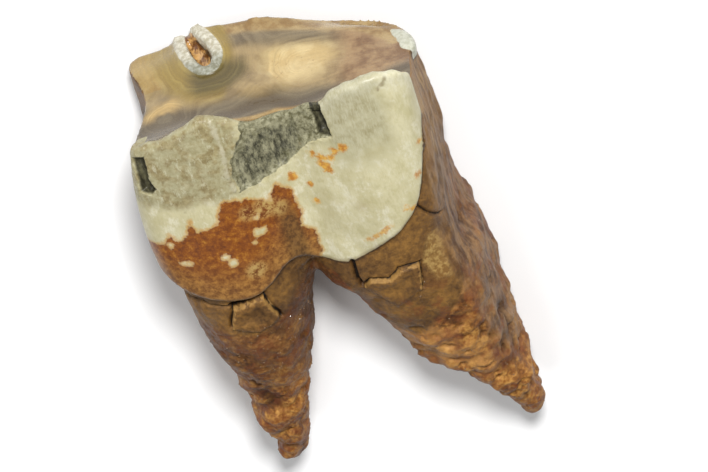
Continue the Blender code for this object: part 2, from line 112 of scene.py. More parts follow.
# Lower edge of the enamel and its worn rim, as heights along x.
GUM_LINE = (
    (-27.0, 4.5), (-24.4, 1.0), (-19.6, -2.4), (-16.0, -3.5), (-10.5, -3.4), (-8.3, -2.2),
    (-6.0, -0.3), (-4.2, 0.4), (-2.5, -0.1), (-0.7, -1.6), (2.3, -2.8), (4.5, -2.8), (7.1, -1.8),
    (10.9, 0.3), (15.1, 2.9), (17.5, 5.3), (18.9, 7.5), (20.6, 12.5), (22.2, 18.8), (23.0, 21.0),
)
RIM_LINE = (
    (-24.0, 26.6), (-22.0, 27.9), (-18.0, 28.7), (-14.0, 30.3), (-11.0, 31.3), (-8.0, 30.3),
    (-5.5, 28.6), (-2.5, 26.8), (2.6, 27.0), (5.2, 28.0), (7.3, 28.0), (9.5, 29.8), (12.5, 30.8),
    (20.0, 30.6), (22.1, 29.4), (23.0, 27.4),
)

# The fold of enamel that stands up as a U in the back half of the chewing surface.
FOLD_PATH = (
    (-14.2, 13.3), (-14.0, 10.3), (-12.9, 6.3), (-11.7, 3.8), (-10.1, 2.2), (-8.4, 2.8),
    (-7.8, 5.2), (-8.8, 8.4), (-10.2, 11.0), (-11.3, 13.3),
)
FOLD_POINTS = 80
FOLD_WIDTH = 1.9
FOLD_RISE = 0.5
FOLD_FOOT = 20.0
# Its rounded top, as shares of half its width and drops from its middle.
FOLD_SECTION = ((-1.0, -0.3), (-0.8, -0.05), (0.0, 0.0), (0.8, -0.05), (1.0, -0.3))
# The raised collar around it, the pit inside it, and a low bump beyond it on the far rim.
COLLAR_RISE = 0.8
COLLAR_REACH = 3.2
PIT_SINK = 1.8
PIT_EDGE = 0.9
FAR_TIP = (-1.2, 12.4)
FAR_TIP_RISE = 1.1
FAR_TIP_REACH = 1.3
# Points on the curves that only distances are measured from.
GUIDE_POINTS = 40
EDGE_POINTS = 60

# A scrap of enamel left on the front corner of the tongue side.
SCRAP_OUTLINE = ((20.0, 6.6), (22.6, 5.6), (23.7, 1.8), (23.2, 0.2), (21.6, 1.2), (20.6, 4.2))
SCRAP_POINTS = 24
SCRAP_FOOT = 22.4
SCRAP_FOOT_SHARE = 0.7
SCRAP_EDGE = 23.0
SCRAP_MARGIN = 0.25
SCRAP_RAGGED = (1.2, 0.3)
# Its rounded top as shares of its outline, with how far each stands over the surface.
SCRAP_TOP = ((1.0, -0.3), (0.9, 0.5), (0.5, 0.7))

# Roots as level sections: height, back, front, cheek and tongue limits.
BACK_ROOT = (
    (8.0, -24.2, -1.0, -13.4, 12.4),
    (-7.0, -24.8, -1.9, -13.8, 12.8),
    (-14.0, -24.0, -5.0, -13.0, 12.4),
    (-22.0, -22.6, -6.9, -11.2, 11.8),
    (-30.0, -21.4, -9.8, -8.6, 10.6),
    (-38.0, -20.4, -12.4, -5.6, 9.0),
    (-46.0, -19.6, -14.2, -2.8, 7.4),
    (-50.0, -20.4, -15.4, -0.8, 6.2),
    (-51.8, -20.2, -16.4, 0.8, 4.8),
)
FRONT_ROOT = (
    (8.0, -1.0, 21.9, -13.2, 12.4),
    (-5.0, -3.2, 21.9, -13.6, 12.9),
    (-8.5, -2.6, 22.2, -13.5, 12.9),
    (-12.0, 0.0, 23.6, -13.0, 12.7),
    (-20.0, 3.6, 24.0, -11.6, 12.1),
    (-27.0, 6.6, 24.2, -10.0, 10.8),
    (-33.5, 9.6, 24.2, -8.2, 9.8),
    (-38.0, 13.4, 24.2, -6.4, 8.8),
    (-44.0, 17.2, 24.0, -4.4, 7.8),
    (-50.0, 20.0, 23.8, -1.6, 6.8),
    (-52.6, 21.0, 23.5, 0.6, 5.6),
    (-54.0, 21.6, 23.1, 1.8, 4.6),
)
CHEEK_SQUARENESS = 2.6
TONGUE_SQUARENESS = 5.0
ROOT_POINTS = 72
ROOT_RINGS = 60

# Noise that shapes the skin and its ragged edges: size in millimetres, octaves, stretch, shift.
EVEN = (1.0, 1.0, 1.0)
NOISE_FADE = 0.9
NOISE_STEP = 2.0
LUMPS = (7.0, 3, EVEN, 0.0)
PITS = (2.4, 2, EVEN, 7.0)
STREAKS = (2.2, 3, (1.0, 1.0, 5.0), 3.0)
CRUST = (1.5, 3, EVEN, 11.0)
SPLINTERS = (1.2, 4, (0.8, 1.0, 2.0), 5.0)
BREAKAGE = (1.2, 3, EVEN, 15.0)
RIM_WAVES = (1.6, 2, EVEN, 0.0)
RAGGED = (1.3, 3, EVEN, 2.0)
WOBBLE = (0.7, 2, EVEN, 9.0)
SCRAP_WAVES = (1.5, 2, EVEN, 17.0)

# Relief of the bare roots and of the crown's bare walls. Pairs of heights or distances are where
# it begins and ends; pairs that rise are its height on smooth bone and what coarse bone adds.
BARE_HEIGHTS = (-9.0, -3.0)
COARSE_HEIGHTS = (-36.0, -12.0)
SKIN_EDGE = (-1.0, 1.0)
FRONT_WALL = (18.0, 21.0)
BACK_WALL = (19.0, 22.0)
WALL_TOP = (16.0, 24.0)
TONGUE_WALL = (7.0, 10.0)
TONGUE_TOP = (22.0, 27.0)
WEAR_MARGIN = (0.5, 3.0)
DULL_EDGE = (-0.5, 0.0)
CALM_HEIGHTS = (-46.0, -34.0)
FRONT_CALM = 0.75
BACK_SHARE = 0.6
LUMP_RISE = (0.25, 0.65)
KNOB_ROUNDNESS = 1.6
KNOBS = (4.2, 0.0)
KNOB_MIDDLE = 0.45
KNOB_RISE = (0.15, 0.95)
SMALL_KNOBS = (2.1, 5.0)
SMALL_KNOB_MIDDLE = 0.5
SMALL_KNOB_RISE = 0.2
CRUST_RISE = 0.22
CRUST_SHARE = (0.5, 0.6)
SKIN_CALM = 0.88
SKIN_STREAKS = 0.05
WALL_RISE = (0.5, 0.3)
TONGUE_RISE = (0.25, 0.25)
PIT_LEVELS = (0.3, 0.7)
PIT_SHARE = (0.25, 0.75)
PIT_DEPTH = 0.8

# Marks on the cheek side, as x and z: the flaked patch with its dark middle, the two notches and
# the pale ridge line beside the patch.
CHIP = (
    (-4.5, 34.0), (-5.6, 27.1), (-8.2, 23.6), (-8.8, 20.8), (-8.4, 17.0), (-3.7, 17.5),
    (-0.3, 18.2), (2.4, 20.2), (4.2, 21.8), (8.0, 22.8), (7.9, 28.4), (7.8, 34.0),
)
CHIP_DARK = (
    (-8.0, 22.6), (-5.4, 26.2), (-3.1, 26.4), (0.5, 25.6), (2.8, 25.4), (3.4, 23.3),
    (2.2, 20.9), (-0.3, 18.6), (-3.7, 18.1), (-7.9, 17.6),
)
CHIP_DEPTH = 0.6
CHIP_EDGE = (-0.05, 0.8)
SPLINTER_RISE = 0.4
NOTCHES = (
    ((7.7, 34.0), (8.3, 22.7), (6.1, 23.0), (6.0, 26.6), (6.6, 34.0)),
    ((-23.6, 26.6), (-21.4, 27.2), (-21.8, 22.9), (-21.1, 20.9), (-22.1, 20.0), (-24.1, 20.2)),
)
NOTCH_DEPTH = 1.3
NOTCH_EDGE = (-0.1, 0.5)
RIDGE_LINE = ((-9.4, 31.0), (-9.0, 27.7), (-8.9, 24.4), (-9.6, 21.6), (-9.2, 18.0))
RIDGE_RISE = 0.2
RIDGE_EDGE = (0.1, 0.6)
RIM_JITTER = 0.35
# Where the enamel round the chip is broken: heights, distances behind the middle and to the chip.
BROKEN_HEIGHTS = (16.0, 19.0)
BROKEN_BACK = (5.0, 8.0)
BROKEN_CHIP = (-2.0, 0.0)
BROKEN_RISE = 0.12

# Which skin counts as the cheek side, by how it faces and how far out it lies, for the relief and
# for the finish, and what stands for far outside an area. The drops end an area off that side.
CHEEK_FACING = (0.15, 0.45)
CHEEK_LOOK = (0.1, 0.4)
CHEEK_EDGE = (3.0, 6.0)
CHEEK_SIDE = -5.0
CHEEK_PART = 0.2
STAIN_PART = 0.3
OUTSIDE = 5.0
FAR_OUTSIDE = 30.0
SPOT_DROP = 3.0
SKIN_DROP = 14.0
FAR_SIDE = 2.0
# Which skin counts as the front face, by how it faces and how far forward it lies.
FRONT_FACING = (0.45, 0.8)
FRONT_START = (17.0, 20.0)
# How far the ragged edge of each mark wanders, in millimetres.
WANDER = {"specks": 0.25, "chip": 0.35, "chip_dark": 0.5, "notch": 0.15, "ridge": 0.3}

# Rust stain on the back lobe, and round areas as a centre and a radius: its pale islands, where
# it is thin, loose rust spots and dark specks. Then a faint rust line and the middle of a smudge.
STAIN = (
    (-27.0, 9.5), (-23.0, 10.0), (-21.5, 11.8), (-21.2, 10.6), (-20.0, 10.5), (-18.8, 11.5),
    (-17.6, 14.2), (-17.2, 11.8), (-14.5, 12.0), (-13.2, 12.8), (-12.7, 15.2), (-11.2, 16.5),
    (-9.9, 16.2), (-9.0, 15.3), (-7.9, 15.6), (-4.4, 13.2), (-4.2, 14.1), (-3.0, 15.6),
    (-1.0, 13.1), (-0.6, 8.5), (-1.4, 5.7), (0.4, 4.1), (0.3, -0.6), (-1.3, -3.0), (-7.0, -7.0),
    (-16.0, -9.0), (-27.0, -5.0),
)
PALE_ISLANDS = (
    (-8.0, 8.7, 0.8), (-7.1, 8.5, 0.8), (-14.1, 5.9, 0.7), (-13.3, 4.4, 0.8), (-8.9, 6.9, 0.35),
    (-20.9, 5.8, 0.5), (-20.2, 5.5, 0.5), (-22.0, 9.8, 0.7), (-7.3, 11.4, 0.5),
)
THIN_RUST = ((-5.6, 12.6, 1.8), (-3.6, 11.2, 1.2), (-8.4, 12.8, 1.2), (-10.2, 1.6, 1.4))
RUST_SPOTS = (
    (-0.1, 15.6, 0.7), (2.1, 13.4, 0.25), (2.4, 9.9, 0.25), (5.6, 18.9, 0.8), (5.3, 17.6, 0.5),
    (5.9, 16.7, 0.8), (8.2, 20.0, 0.6), (9.4, 20.5, 0.7), (7.2, 18.6, 0.3), (4.4, 19.6, 0.4),
    (16.0, 6.6, 0.3), (17.3, 5.5, 0.4), (19.6, 11.2, 0.3), (21.0, 16.8, 0.2),
)
DARK_SPECKS = (
    (18.6, 29.9, 0.5), (19.2, 30.6, 0.4), (17.8, 29.4, 0.35), (20.1, 22.1, 0.25),
    (-19.7, 22.2, 0.4), (-17.7, 22.4, 0.35), (-17.9, 15.9, 0.3), (2.6, 21.3, 0.35),
    (-9.6, 22.0, 0.4), (-9.3, 19.6, 0.3),
)
FAINT_RUST = ((8.2, 1.5), (10.0, 2.1), (12.6, 3.6))
FAINT_REACH = 1.0
SMUDGE = (9.2, 8.5)

# Cracks in the root skin under the gum line, as x and z on the cheek side, each with its depth
# and half its width, and the plates of skin that stand proud beside them.
CRACKS = (
    (0.6, 0.2, ((-24.0, -4.4), (-21.2, -4.4), (-19.9, -5.2), (-17.9, -5.6), (-16.5, -5.8))),
    (1.6, 0.5, ((-16.4, -5.6), (-14.4, -5.2), (-12.9, -4.8), (-10.9, -4.4))),
    (0.7, 0.22, ((-16.5, -6.1), (-16.6, -7.0), (-17.5, -9.0), (-17.8, -10.4))),
    (0.7, 0.24, ((-10.8, -4.6), (-10.4, -7.1), (-9.5, -9.5), (-9.3, -10.9))),
    (1.0, 0.38, ((4.5, -3.0), (4.3, -6.3), (4.7, -8.3))),
    (0.7, 0.24, ((4.7, -8.6), (6.2, -7.3), (9.4, -7.9), (11.0, -6.8), (11.3, -6.3), (14.9, -6.6))),
    (0.5, 0.16, ((14.9, -6.6), (14.7, -7.8), (14.0, -11.6))),
    (0.5, 0.2, ((17.4, 4.2), (18.6, 1.6), (19.4, 0.4), (20.2, -0.8))),
)
FLAKES = (
    (0.6, (
        (-16.5, -6.0), (-10.7, -4.9), (-9.4, -9.5), (-9.9, -11.1), (-13.6, -12.4), (-17.8, -10.5),
    )),
    (0.35, (
        (4.8, -8.8), (6.2, -7.4), (9.4, -8.0), (11.2, -6.6), (14.9, -6.7), (14.2, -11.6),
        (9.0, -15.0),
    )),
)
LIP_WIDTH = 0.5
CRACK_SLOPE = (-0.2, 0.8)
CRACK_WOBBLE = 0.12
FLAKE_EDGE = (-0.1, 0.3)
FLAKE_FADE = (0.8, 3.2)

# How near to a mark the skin is split once, and split again.
REFINE_REACHES = (0.8, 0.4)
REFINE_SIDE = -6.0

# Mineral grains in the coarse root skin: radii in metres and how many to a square metre, and
# where they are thickest, as x, z and radius on the cheek side.
GRAIN_INPUTS = {"Least grain": 0.00006, "Largest grain": 0.00017, "Grains per area": 450000.0}
GRAIN_SEED = 7
GRAIN_SPOTS = ((-13.5, -15.0, 5.0), (-15.0, -20.0, 4.0), (-6.5, -13.0, 2.5))
GRAIN_EDGE = (-2.0, 1.0)
GRAIN_LEAST = 0.12
GRAIN_HEIGHTS = (-14.0, -9.0)
GRAIN_SIDE = (3.0, 6.0)

# Lower edge of the smooth root skin, as heights along x, and a tan patch on it.
SKIN_FOOT = (
    (-26.0, -9.0), (-20.0, -11.0), (-14.0, -13.0), (-9.5, -11.5), (-6.0, -7.5), (-2.5, -5.0),
    (2.5, -9.0), (4.5, -16.5), (6.3, -19.8), (9.0, -23.0), (14.0, -20.3), (17.9, -18.0),
    (20.5, -14.0), (26.0, -6.0),
)
TAN_PATCH = ((15.0, -6.8), (17.0, -2.4), (19.4, -2.0), (18.6, -7.4), (19.3, -12.0), (16.5, -11.6))

# Where growth rings of the worn dentine start, as x and y on the chewing surface, how far along
# each set of rings begins, and how softly neighbouring sets run into each other.
RING_PATH = ((5.0, 1.2), (19.0, 2.4))
RING_CORNER = ((-17.8, -4.8), (-17.2, -4.7))
RING_BLEND = 1.4
RING_STARTS = (0.0, 1.5, 0.5)

# How deep under the worn surface and how level skin still counts as worn. Then the golden patch
# in its middle, and the outline whose cheek edge the near trough follows.
WORN_DEPTH = 0.6
WORN_FACING = (0.3, 0.7)
WORN_TURN = 2.0
GOLD_PATCH = ((2.4, 1.2), (7.5, 1.6))
NEAR_TROUGH = (
    (-24.0, -7.4), (-18.0, -10.0), (-12.0, -10.6), (-5.5, -9.8), (0.5, -7.8), (6.0, -9.2),
    (12.5, -10.6), (18.0, -10.0), (22.0, -8.2), (34.0, -8.0), (34.0, 20.0), (-36.0, 20.0),
    (-36.0, -7.0),
)

# Hair cracks of the golden patch: how many run out from each centre, how far, and how bent.
STAR_CENTRES = ((3.0, 1.2), (6.6, 0.8))
STAR_RAYS = 5
STAR_REACH = (1.0, 3.6)
STAR_BEND = 0.5
STAR_BENDS = 5
STAR_SPREAD = 0.7
STAR_HEIGHT = 20.0
STAR_SEED = 11

# The photograph's view: how the camera is turned about the upright tooth, its scale, and one
# point of the tooth with the place where the photograph shows it.
VIEW_TURN = math.radians(10.0)
VIEW_TILT = math.radians(38.0)
VIEW_ROLL = math.radians(20.0)
PIXELS_PER_MM = 6.2
ANCHOR_MM = (-23.0, -12.0, 28.0)
ANCHOR_PIXEL = (136.0, 155.0)
PICTURE = (708.0, 472.0)
CAMERA_DISTANCE = 1.5

# How much brighter than plain white the floor is lit, so that it stays white beside the tooth.
STUDIO_LIGHT = 1.3
SENSOR_MM = 36.0
CLIP_END = 20.0
# Lights over the tooth: place and width in metres, and power.
KEY_LIGHT = ((0.2, 0.68, 0.7), 0.2, 12.7)
FILL_LIGHT = ((-0.4, 0.0, 0.8), 0.6, 2.0)
SKY_STRENGTH = 0.28
FLOOR_SHARE = 0.88
FLOOR_HALF = 3.0

# Colours as they look, 0 to 255, each as one tone or as two that a pattern mixes.
# Polished dentine.
DENTINE_TONES = ((132, 112, 78), (158, 136, 96))
PINK_TONES = ((120, 88, 56), (156, 126, 88))
MAUVE_TONES = ((92, 77, 54), (124, 109, 82))
FAR_RIM_TONES = ((136, 104, 56), (172, 146, 98))
GOLD_TONES = ((190, 164, 112), (212, 192, 144))
TROUGH_TONES = ((84, 71, 52), (112, 100, 78))
STRIP_TONES = ((150, 116, 58), (186, 156, 96))
OLIVE_TONES = ((134, 110, 46), (168, 146, 78))
CRESCENT_TONES = ((78, 66, 32), (108, 96, 56))
CORNER_TONES = ((186, 154, 96), (210, 184, 128))
BACK_EDGE_TONE = (168, 140, 70)
PIT_TONES = ((104, 62, 24), (206, 160, 96))
STAR_TONE = (104, 66, 36)
# Enamel and its marks.
CREAM_TONES = ((198, 190, 150), (212, 205, 168))
MILK_TONE = (226, 221, 194)
STRAW_TONE = (182, 173, 124)
GRAIN_TONE = (160, 150, 108)
SPECK_TONE = (170, 160, 112)
SMUDGE_TONE = (160, 142, 96)
BACK_LOBE_TONES = ((172, 166, 132), (146, 136, 96))
MOTTLE_TONES = ((160, 147, 104), (120, 102, 62))
FLECK_TONE = (198, 194, 166)
# Olive grey of the front lobe's upper half: partly its own tone, partly painted shade.
GREY_AND_SHADE_TONES = ((182, 177, 146), (144, 136, 98))
PALE_GRAIN_TONE = (204, 200, 174)
RIM_TONES = ((214, 211, 190), (182, 178, 150))
RIDGE_TONE = (196, 190, 164)
CHIP_TONES = ((162, 158, 128), (98, 94, 64))
DARK_CHIP_TONES = ((24, 24, 13), (154, 150, 120))
NOTCH_TONES = ((42, 39, 25), (98, 94, 68))
DARK_SPECK_TONE = (112, 94, 58)
BEND_TONES = ((170, 171, 158), (124, 122, 102))
ARM_TONES = ((222, 218, 202), (176, 168, 144))
SCRAP_TONES = ((204, 206, 194), (174, 176, 160))
# Rust on the enamel. Stops are places on a pattern from 0 to 1, each with its colour.
RUST_STOPS = (
    (0.38, (96, 40, 0)), (0.47, (126, 62, 0)), (0.56, (150, 84, 6)), (0.66, (188, 130, 42)),
)
BLOTCH_TONE = (130, 66, 4)
LOW_RUST_TONES = ((112, 70, 26), (176, 130, 66))
# Darker rust in the groove between the lobes: partly the rust's own darker strip, partly painted shade.
GROOVE_SHADE_TONES = ((76, 48, 16), (124, 86, 40))
THIN_RUST_TONE = (190, 160, 96)
STAIN_EDGE_TONE = (192, 138, 40)
GOLDEN_SPOT_TONES = ((178, 108, 8), (220, 166, 60))
# Painted shade along the enamel's lower edge at the gum line.
GUM_LINE_SHADE_TONE = (108, 82, 48)
# Roots.
BONE_STOPS = (
    (0.37, (66, 36, 14)), (0.45, (120, 73, 30)), (0.53, (158, 103, 48)), (0.62, (206, 150, 80)),
)
SKIN_STOPS = ((0.38, (78, 52, 24)), (0.49, (114, 80, 38)), (0.6, (150, 108, 50)))
RED_TONE = (124, 58, 18)
AMBER_TONES = ((156, 96, 30), (222, 166, 84))
DUSK_TONE = (82, 58, 36)
DEEP_TONE = (66, 42, 20)
LIGHT_TONE = (196, 146, 84)
TAN_TONES = ((140, 102, 48), (188, 154, 90))
PURPLE_TONES = ((88, 60, 38), (150, 116, 80))
FRONT_TONES = ((112, 80, 42), (178, 144, 96))
FRONT_PATCH_TONE = (150, 106, 52)
# Painted highlight on the tops of the root's knobs.
KNOB_HIGHLIGHT_TONE = (188, 134, 68)
LIP_TONE = (192, 148, 82)
HOLLOW_TONE = (50, 24, 10)
RUSSET_TONE = (118, 58, 30)
# Painted shadow: a dark line on the root under the enamel's overhanging edge.
ENAMEL_EDGE_SHADOW_TONE = (50, 34, 20)
CRACK_TONE = (24, 15, 8)
# Mineral grains.
MINERAL_TONES = ((96, 68, 42), (168, 136, 100))


def through(rows, t):
    """Values at t on smooth curves through rows of (t, value, value, ...)."""
    rows = np.asarray(rows, float)
    rows = rows[np.argsort(rows[:, 0])]
    knots = rows[:, 0]
    values = rows[:, 1:]
    slopes = np.gradient(values, knots, axis=0)
    t = np.clip(np.atleast_1d(t), knots[0], knots[-1])
    i = np.clip(np.searchsorted(knots, t) - 1, 0, len(knots) - 2)
    step = (knots[i + 1] - knots[i])[:, None]
    u = (t - knots[i])[:, None] / step
    start = (2 * u**3 - 3 * u**2 + 1) * values[i] + (u**3 - 2 * u**2 + u) * step * slopes[i]
    end = (3 * u**2 - 2 * u**3) * values[i + 1] + (u**3 - u**2) * step * slopes[i + 1]
    return start + end


def spline(points, count, closed=False):
    """A smooth curve through the points, as count points spread evenly by index."""
    points = np.asarray(points, float)
    spans = len(points) if closed else len(points) - 1
    t = np.arange(count) * spans / (count if closed else count - 1)
    i = np.minimum(t.astype(int), spans - 1)
    u = (t - i)[:, None]
    if closed:
        around = [points[(i + k) % len(points)] for k in (-1, 0, 1, 2)]
    else:
        around = [points[np.clip(i + k, 0, spans)] for k in (-1, 0, 1, 2)]
    a, b, c, d = around
    bend = (2 * a - 5 * b + 4 * c - d) * u**2 + (3 * b - a - 3 * c + d) * u**3
    return b + 0.5 * ((c - a) * u + bend)


def at_height(outlines, heights, z):
    """The outline at height z, one height for each point, from outlines at three heights."""
    low, middle, top = heights
    z = np.asarray(z, float)[..., None]
    to_low = (z - middle) * (z - top) / ((low - middle) * (low - top))
    to_middle = (z - low) * (z - top) / ((middle - low) * (middle - top))
    to_top = (z - low) * (z - middle) / ((top - low) * (top - middle))
    return to_low * outlines[0] + to_middle * outlines[1] + to_top * outlines[2]


def path_distance(points, path):
    """Distance in a plane from each point to a line of straight runs."""
    best = np.full(len(points), np.inf)
    path = np.asarray(path, float)
    for a, b in zip(path[:-1], path[1:]):
        run = b - a
        along = np.clip((points - a) @ run / (run @ run), 0, 1)
        best = np.minimum(best, np.linalg.norm(points - a - along[:, None] * run, axis=1))
    return best


def polygon_depth(points, polygon):
    """How far each point lies inside a closed outline, negative outside it."""
    polygon = np.asarray(polygon, float)
    inside = np.zeros(len(points), bool)
    for a, b in zip(polygon, np.roll(polygon, -1, axis=0)):
        spans = (a[1] > points[:, 1]) != (b[1] > points[:, 1])
        rise = b[1] - a[1] if b[1] != a[1] else 1.0
        crossing = a[0] + (points[:, 1] - a[1]) * (b[0] - a[0]) / rise
        inside ^= spans & (points[:, 0] < crossing)
    edge = path_distance(points, np.vstack((polygon, polygon[:1])))
    return np.where(inside, edge, -edge)


def ramp(values, low, high):
    """0 below low, 1 above high, and smooth between."""
    t = np.clip((values - low) / (high - low), 0, 1)
    return t * t * (3 - 2 * t)


def wear_height(xy):
    """Height of the worn chewing surface over each (x, y)."""
    knots = np.array([y for y, row in WEAR_ROWS])
    across = [through(np.column_stack((WEAR_X, row)), xy[:, 0])[:, 0] for y, row in WEAR_ROWS]
    across = np.array(across)
    i = np.clip(np.searchsorted(knots, xy[:, 1]) - 1, 0, len(knots) - 2)
    u = ramp(xy[:, 1], knots[i], knots[i + 1])
    column = np.arange(len(xy))
    height = across[i, column] * (1 - u) + across[i + 1, column] * u
    path = spline(FOLD_PATH, GUIDE_POINTS)
    collar = COLLAR_RISE * np.exp(-((path_distance(xy, path) / COLLAR_REACH) ** 2))
    tip = FAR_TIP_RISE * np.exp(-((np.hypot(*(xy - FAR_TIP).T) / FAR_TIP_REACH) ** 2))
    return height + collar + tip - PIT_SINK * (polygon_depth(xy, path) > PIT_EDGE)


def fractal(points, size, octaves, stretch, shift):
    """Smooth noise from about -1 to 1, with features of the given size."""
    places = points / (np.array(stretch) * size) + shift
    return np.array([noise.fractal(Vector(p), NOISE_FADE, NOISE_STEP, octaves) for p in places])


def add_loft(bm, rings):
    """Adds a closed solid through rings of points, with its first and last ring filled."""
    rows = [[bm.verts.new(point) for point in ring] for ring in rings]
    for lower, upper in zip(rows, rows[1:]):
        for k in range(len(lower)):
            bm.faces.new((lower[k - 1], lower[k], upper[k], upper[k - 1]))
    bm.faces.new(rows[0][::-1])
    bm.faces.new(rows[-1])


def add_core(bm):
    """The crown's dentine, closed by the worn chewing surface."""
    outlines = [spline(line, CORE_POINTS, closed=True) for line in (CORE_LOW, CORE_MIDDLE, CORE_TOP)]
    edge = wear_height(outlines[2])
    rings = []
    for share in np.linspace(0, 1, CORE_RINGS):
        z = CORE_FLOOR + share * (edge - CORE_FLOOR)
        rings.append(np.column_stack((at_height(outlines, CORE_HEIGHTS, z), z)))
    rim = rings[-1][:, :2]
    centre = rim.mean(axis=0)
    for share in np.linspace(*WEAR_SPAN, WEAR_RINGS):
        xy = centre + share * (rim - centre)
        rings.append(np.column_stack((xy, wear_height(xy))))
    add_loft(bm, rings)


def add_enamel(bm):
    """The enamel wall of the cheek side, from its wavy lower edge to its worn rim."""
    outlines = [spline(line, ENAMEL_POINTS) for line in (ENAMEL_LOW, ENAMEL_MIDDLE, ENAMEL_TOP)]
    along = np.gradient(outlines[1], axis=0)
    inward = np.column_stack((-along[:, 1], along[:, 0]))
    inward /= np.linalg.norm(inward, axis=1)[:, None]
    low = through(GUM_LINE, outlines[1][:, 0])[:, 0]
    top = through(RIM_LINE, outlines[2][:, 0])[:, 0]
    top += RIM_JITTER * fractal(np.column_stack((outlines[2], top)), *RIM_WAVES)
    heights = low + np.linspace(0, 1, ENAMEL_RINGS)[:, None] * (top - low)
    outer = np.array([at_height(outlines, ENAMEL_HEIGHTS, z) for z in heights])
    outer = np.dstack((outer, heights))
    step = np.column_stack((inward, np.zeros(len(inward)))) * ENAMEL_THICK
    lip = np.array((0.0, 0.0, ENAMEL_LIP))
    rings = []
    for k in range(outer.shape[1]):
        face = outer[:, k]
        rim = [face[-1] + step[k] * share + lip for share in LIP_SHARES]
        foot = [face[0] + step[k] * share - lip / 2 for share in LIP_SHARES[::-1]]
        rings.append(np.vstack((face, rim, face[::-1] + step[k], foot)))
    add_loft(bm, rings)


def add_fold(bm):
    """The standing U of enamel, a wall with a rounded top along its path."""
    path = spline(FOLD_PATH, FOLD_POINTS)
    along = np.gradient(path, axis=0)
    side = np.column_stack((-along[:, 1], along[:, 0]))
    side *= 0.5 * FOLD_WIDTH / np.linalg.norm(side, axis=1)[:, None]
    top = wear_height(path) + FOLD_RISE
    rings = []
    for point, across, z in zip(path, side, top):
        section = [(-1, FOLD_FOOT), *((share, z + drop) for share, drop in FOLD_SECTION), (1, FOLD_FOOT)]
        rings.append([(*(point + across * share), height) for share, height in section])
    add_loft(bm, rings)


def add_scrap(bm):
    """The scrap of enamel, a low cap over the front corner."""
    outline = spline(SCRAP_OUTLINE, SCRAP_POINTS, closed=True)
    centre = outline.mean(axis=0)
    foot = centre + SCRAP_FOOT_SHARE * (outline - centre)
    rings = [np.column_stack((foot, np.full(SCRAP_POINTS, SCRAP_FOOT)))]
    for share, rise in SCRAP_TOP:
        xy = centre + share * (outline - centre)
        rings.append(np.column_stack((xy, wear_height(xy) + rise)))
    add_loft(bm, rings)


def add_root(bm, stations):
    """One root, through sections that are rounder towards the cheek."""
    angles = np.linspace(0, 2 * math.pi, ROOT_POINTS, endpoint=False)
    power = 2 / np.where(np.sin(angles) < 0, CHEEK_SQUARENESS, TONGUE_SQUARENESS)
    across = np.sign(np.cos(angles)) * np.abs(np.cos(angles)) ** power
    deep = np.sign(np.sin(angles)) * np.abs(np.sin(angles)) ** power
    rings = []
    for z in np.linspace(stations[0][0], stations[-1][0], ROOT_RINGS):
        back, front, cheek, tongue = through(stations, z)[0]
        x = (back + front) / 2 + across * (front - back) / 2
        y = (cheek + tongue) / 2 + deep * (tongue - cheek) / 2
        rings.append(np.column_stack((x, y, np.full(len(x), z))))
    add_loft(bm, rings)


def add_object(name, data):
    """A new object in the scene."""
    obj = bpy.data.objects.new(name, data)
    bpy.context.scene.collection.objects.link(obj)
    return obj


def evaluated_copy(obj):
    graph = bpy.context.evaluated_depsgraph_get()
    return bpy.data.meshes.new_from_object(obj.evaluated_get(graph))


def fused_mesh():
    """The solids of crown, enamel and roots grown together as one skin."""
    bm = bmesh.new()
    add_core(bm)
    add_enamel(bm)
    add_fold(bm)
    add_scrap(bm)
    add_root(bm, BACK_ROOT)
    add_root(bm, FRONT_ROOT)
    bmesh.ops.recalc_face_normals(bm, faces=bm.faces)
    mesh = bpy.data.meshes.new("tooth_solids")
    bm.to_mesh(mesh)
    bm.free()
    obj = add_object("tooth_solids", mesh)
    remesh = obj.modifiers.new("Fuse", "REMESH")
    remesh.mode = "VOXEL"
    remesh.voxel_size = VOXEL
    relax = obj.modifiers.new("Relax", "SMOOTH")
    relax.factor = RELAX_SHARE
    relax.iterations = RELAX_ROUNDS
    fused = evaluated_copy(obj)
    bpy.data.objects.remove(obj, do_unlink=True)
    return fused


def knobs(points, size, shift):
    """Rounded lumps about size apart, from 0 between them to 1 on top."""
    places = points / size + shift
    near = np.array([noise.voronoi(Vector(p))[0][0] for p in places])
    return np.clip(1 - near * near * KNOB_ROUNDNESS, 0, 1)


def vectors_of(items, key):
    """One vector of each item, as rows of an array."""
    values = np.empty(len(items) * 3)
    items.foreach_get(key, values)
    return values.reshape(-1, 3)


def discs(face, spots):
    """Signed depth inside the nearest of some round spots, each x, z and radius."""
    best = np.full(len(face), -np.inf)
    for x, z, radius in spots:
        best = np.maximum(best, radius - np.hypot(face[:, 0] - x, face[:, 1] - z))
    return best


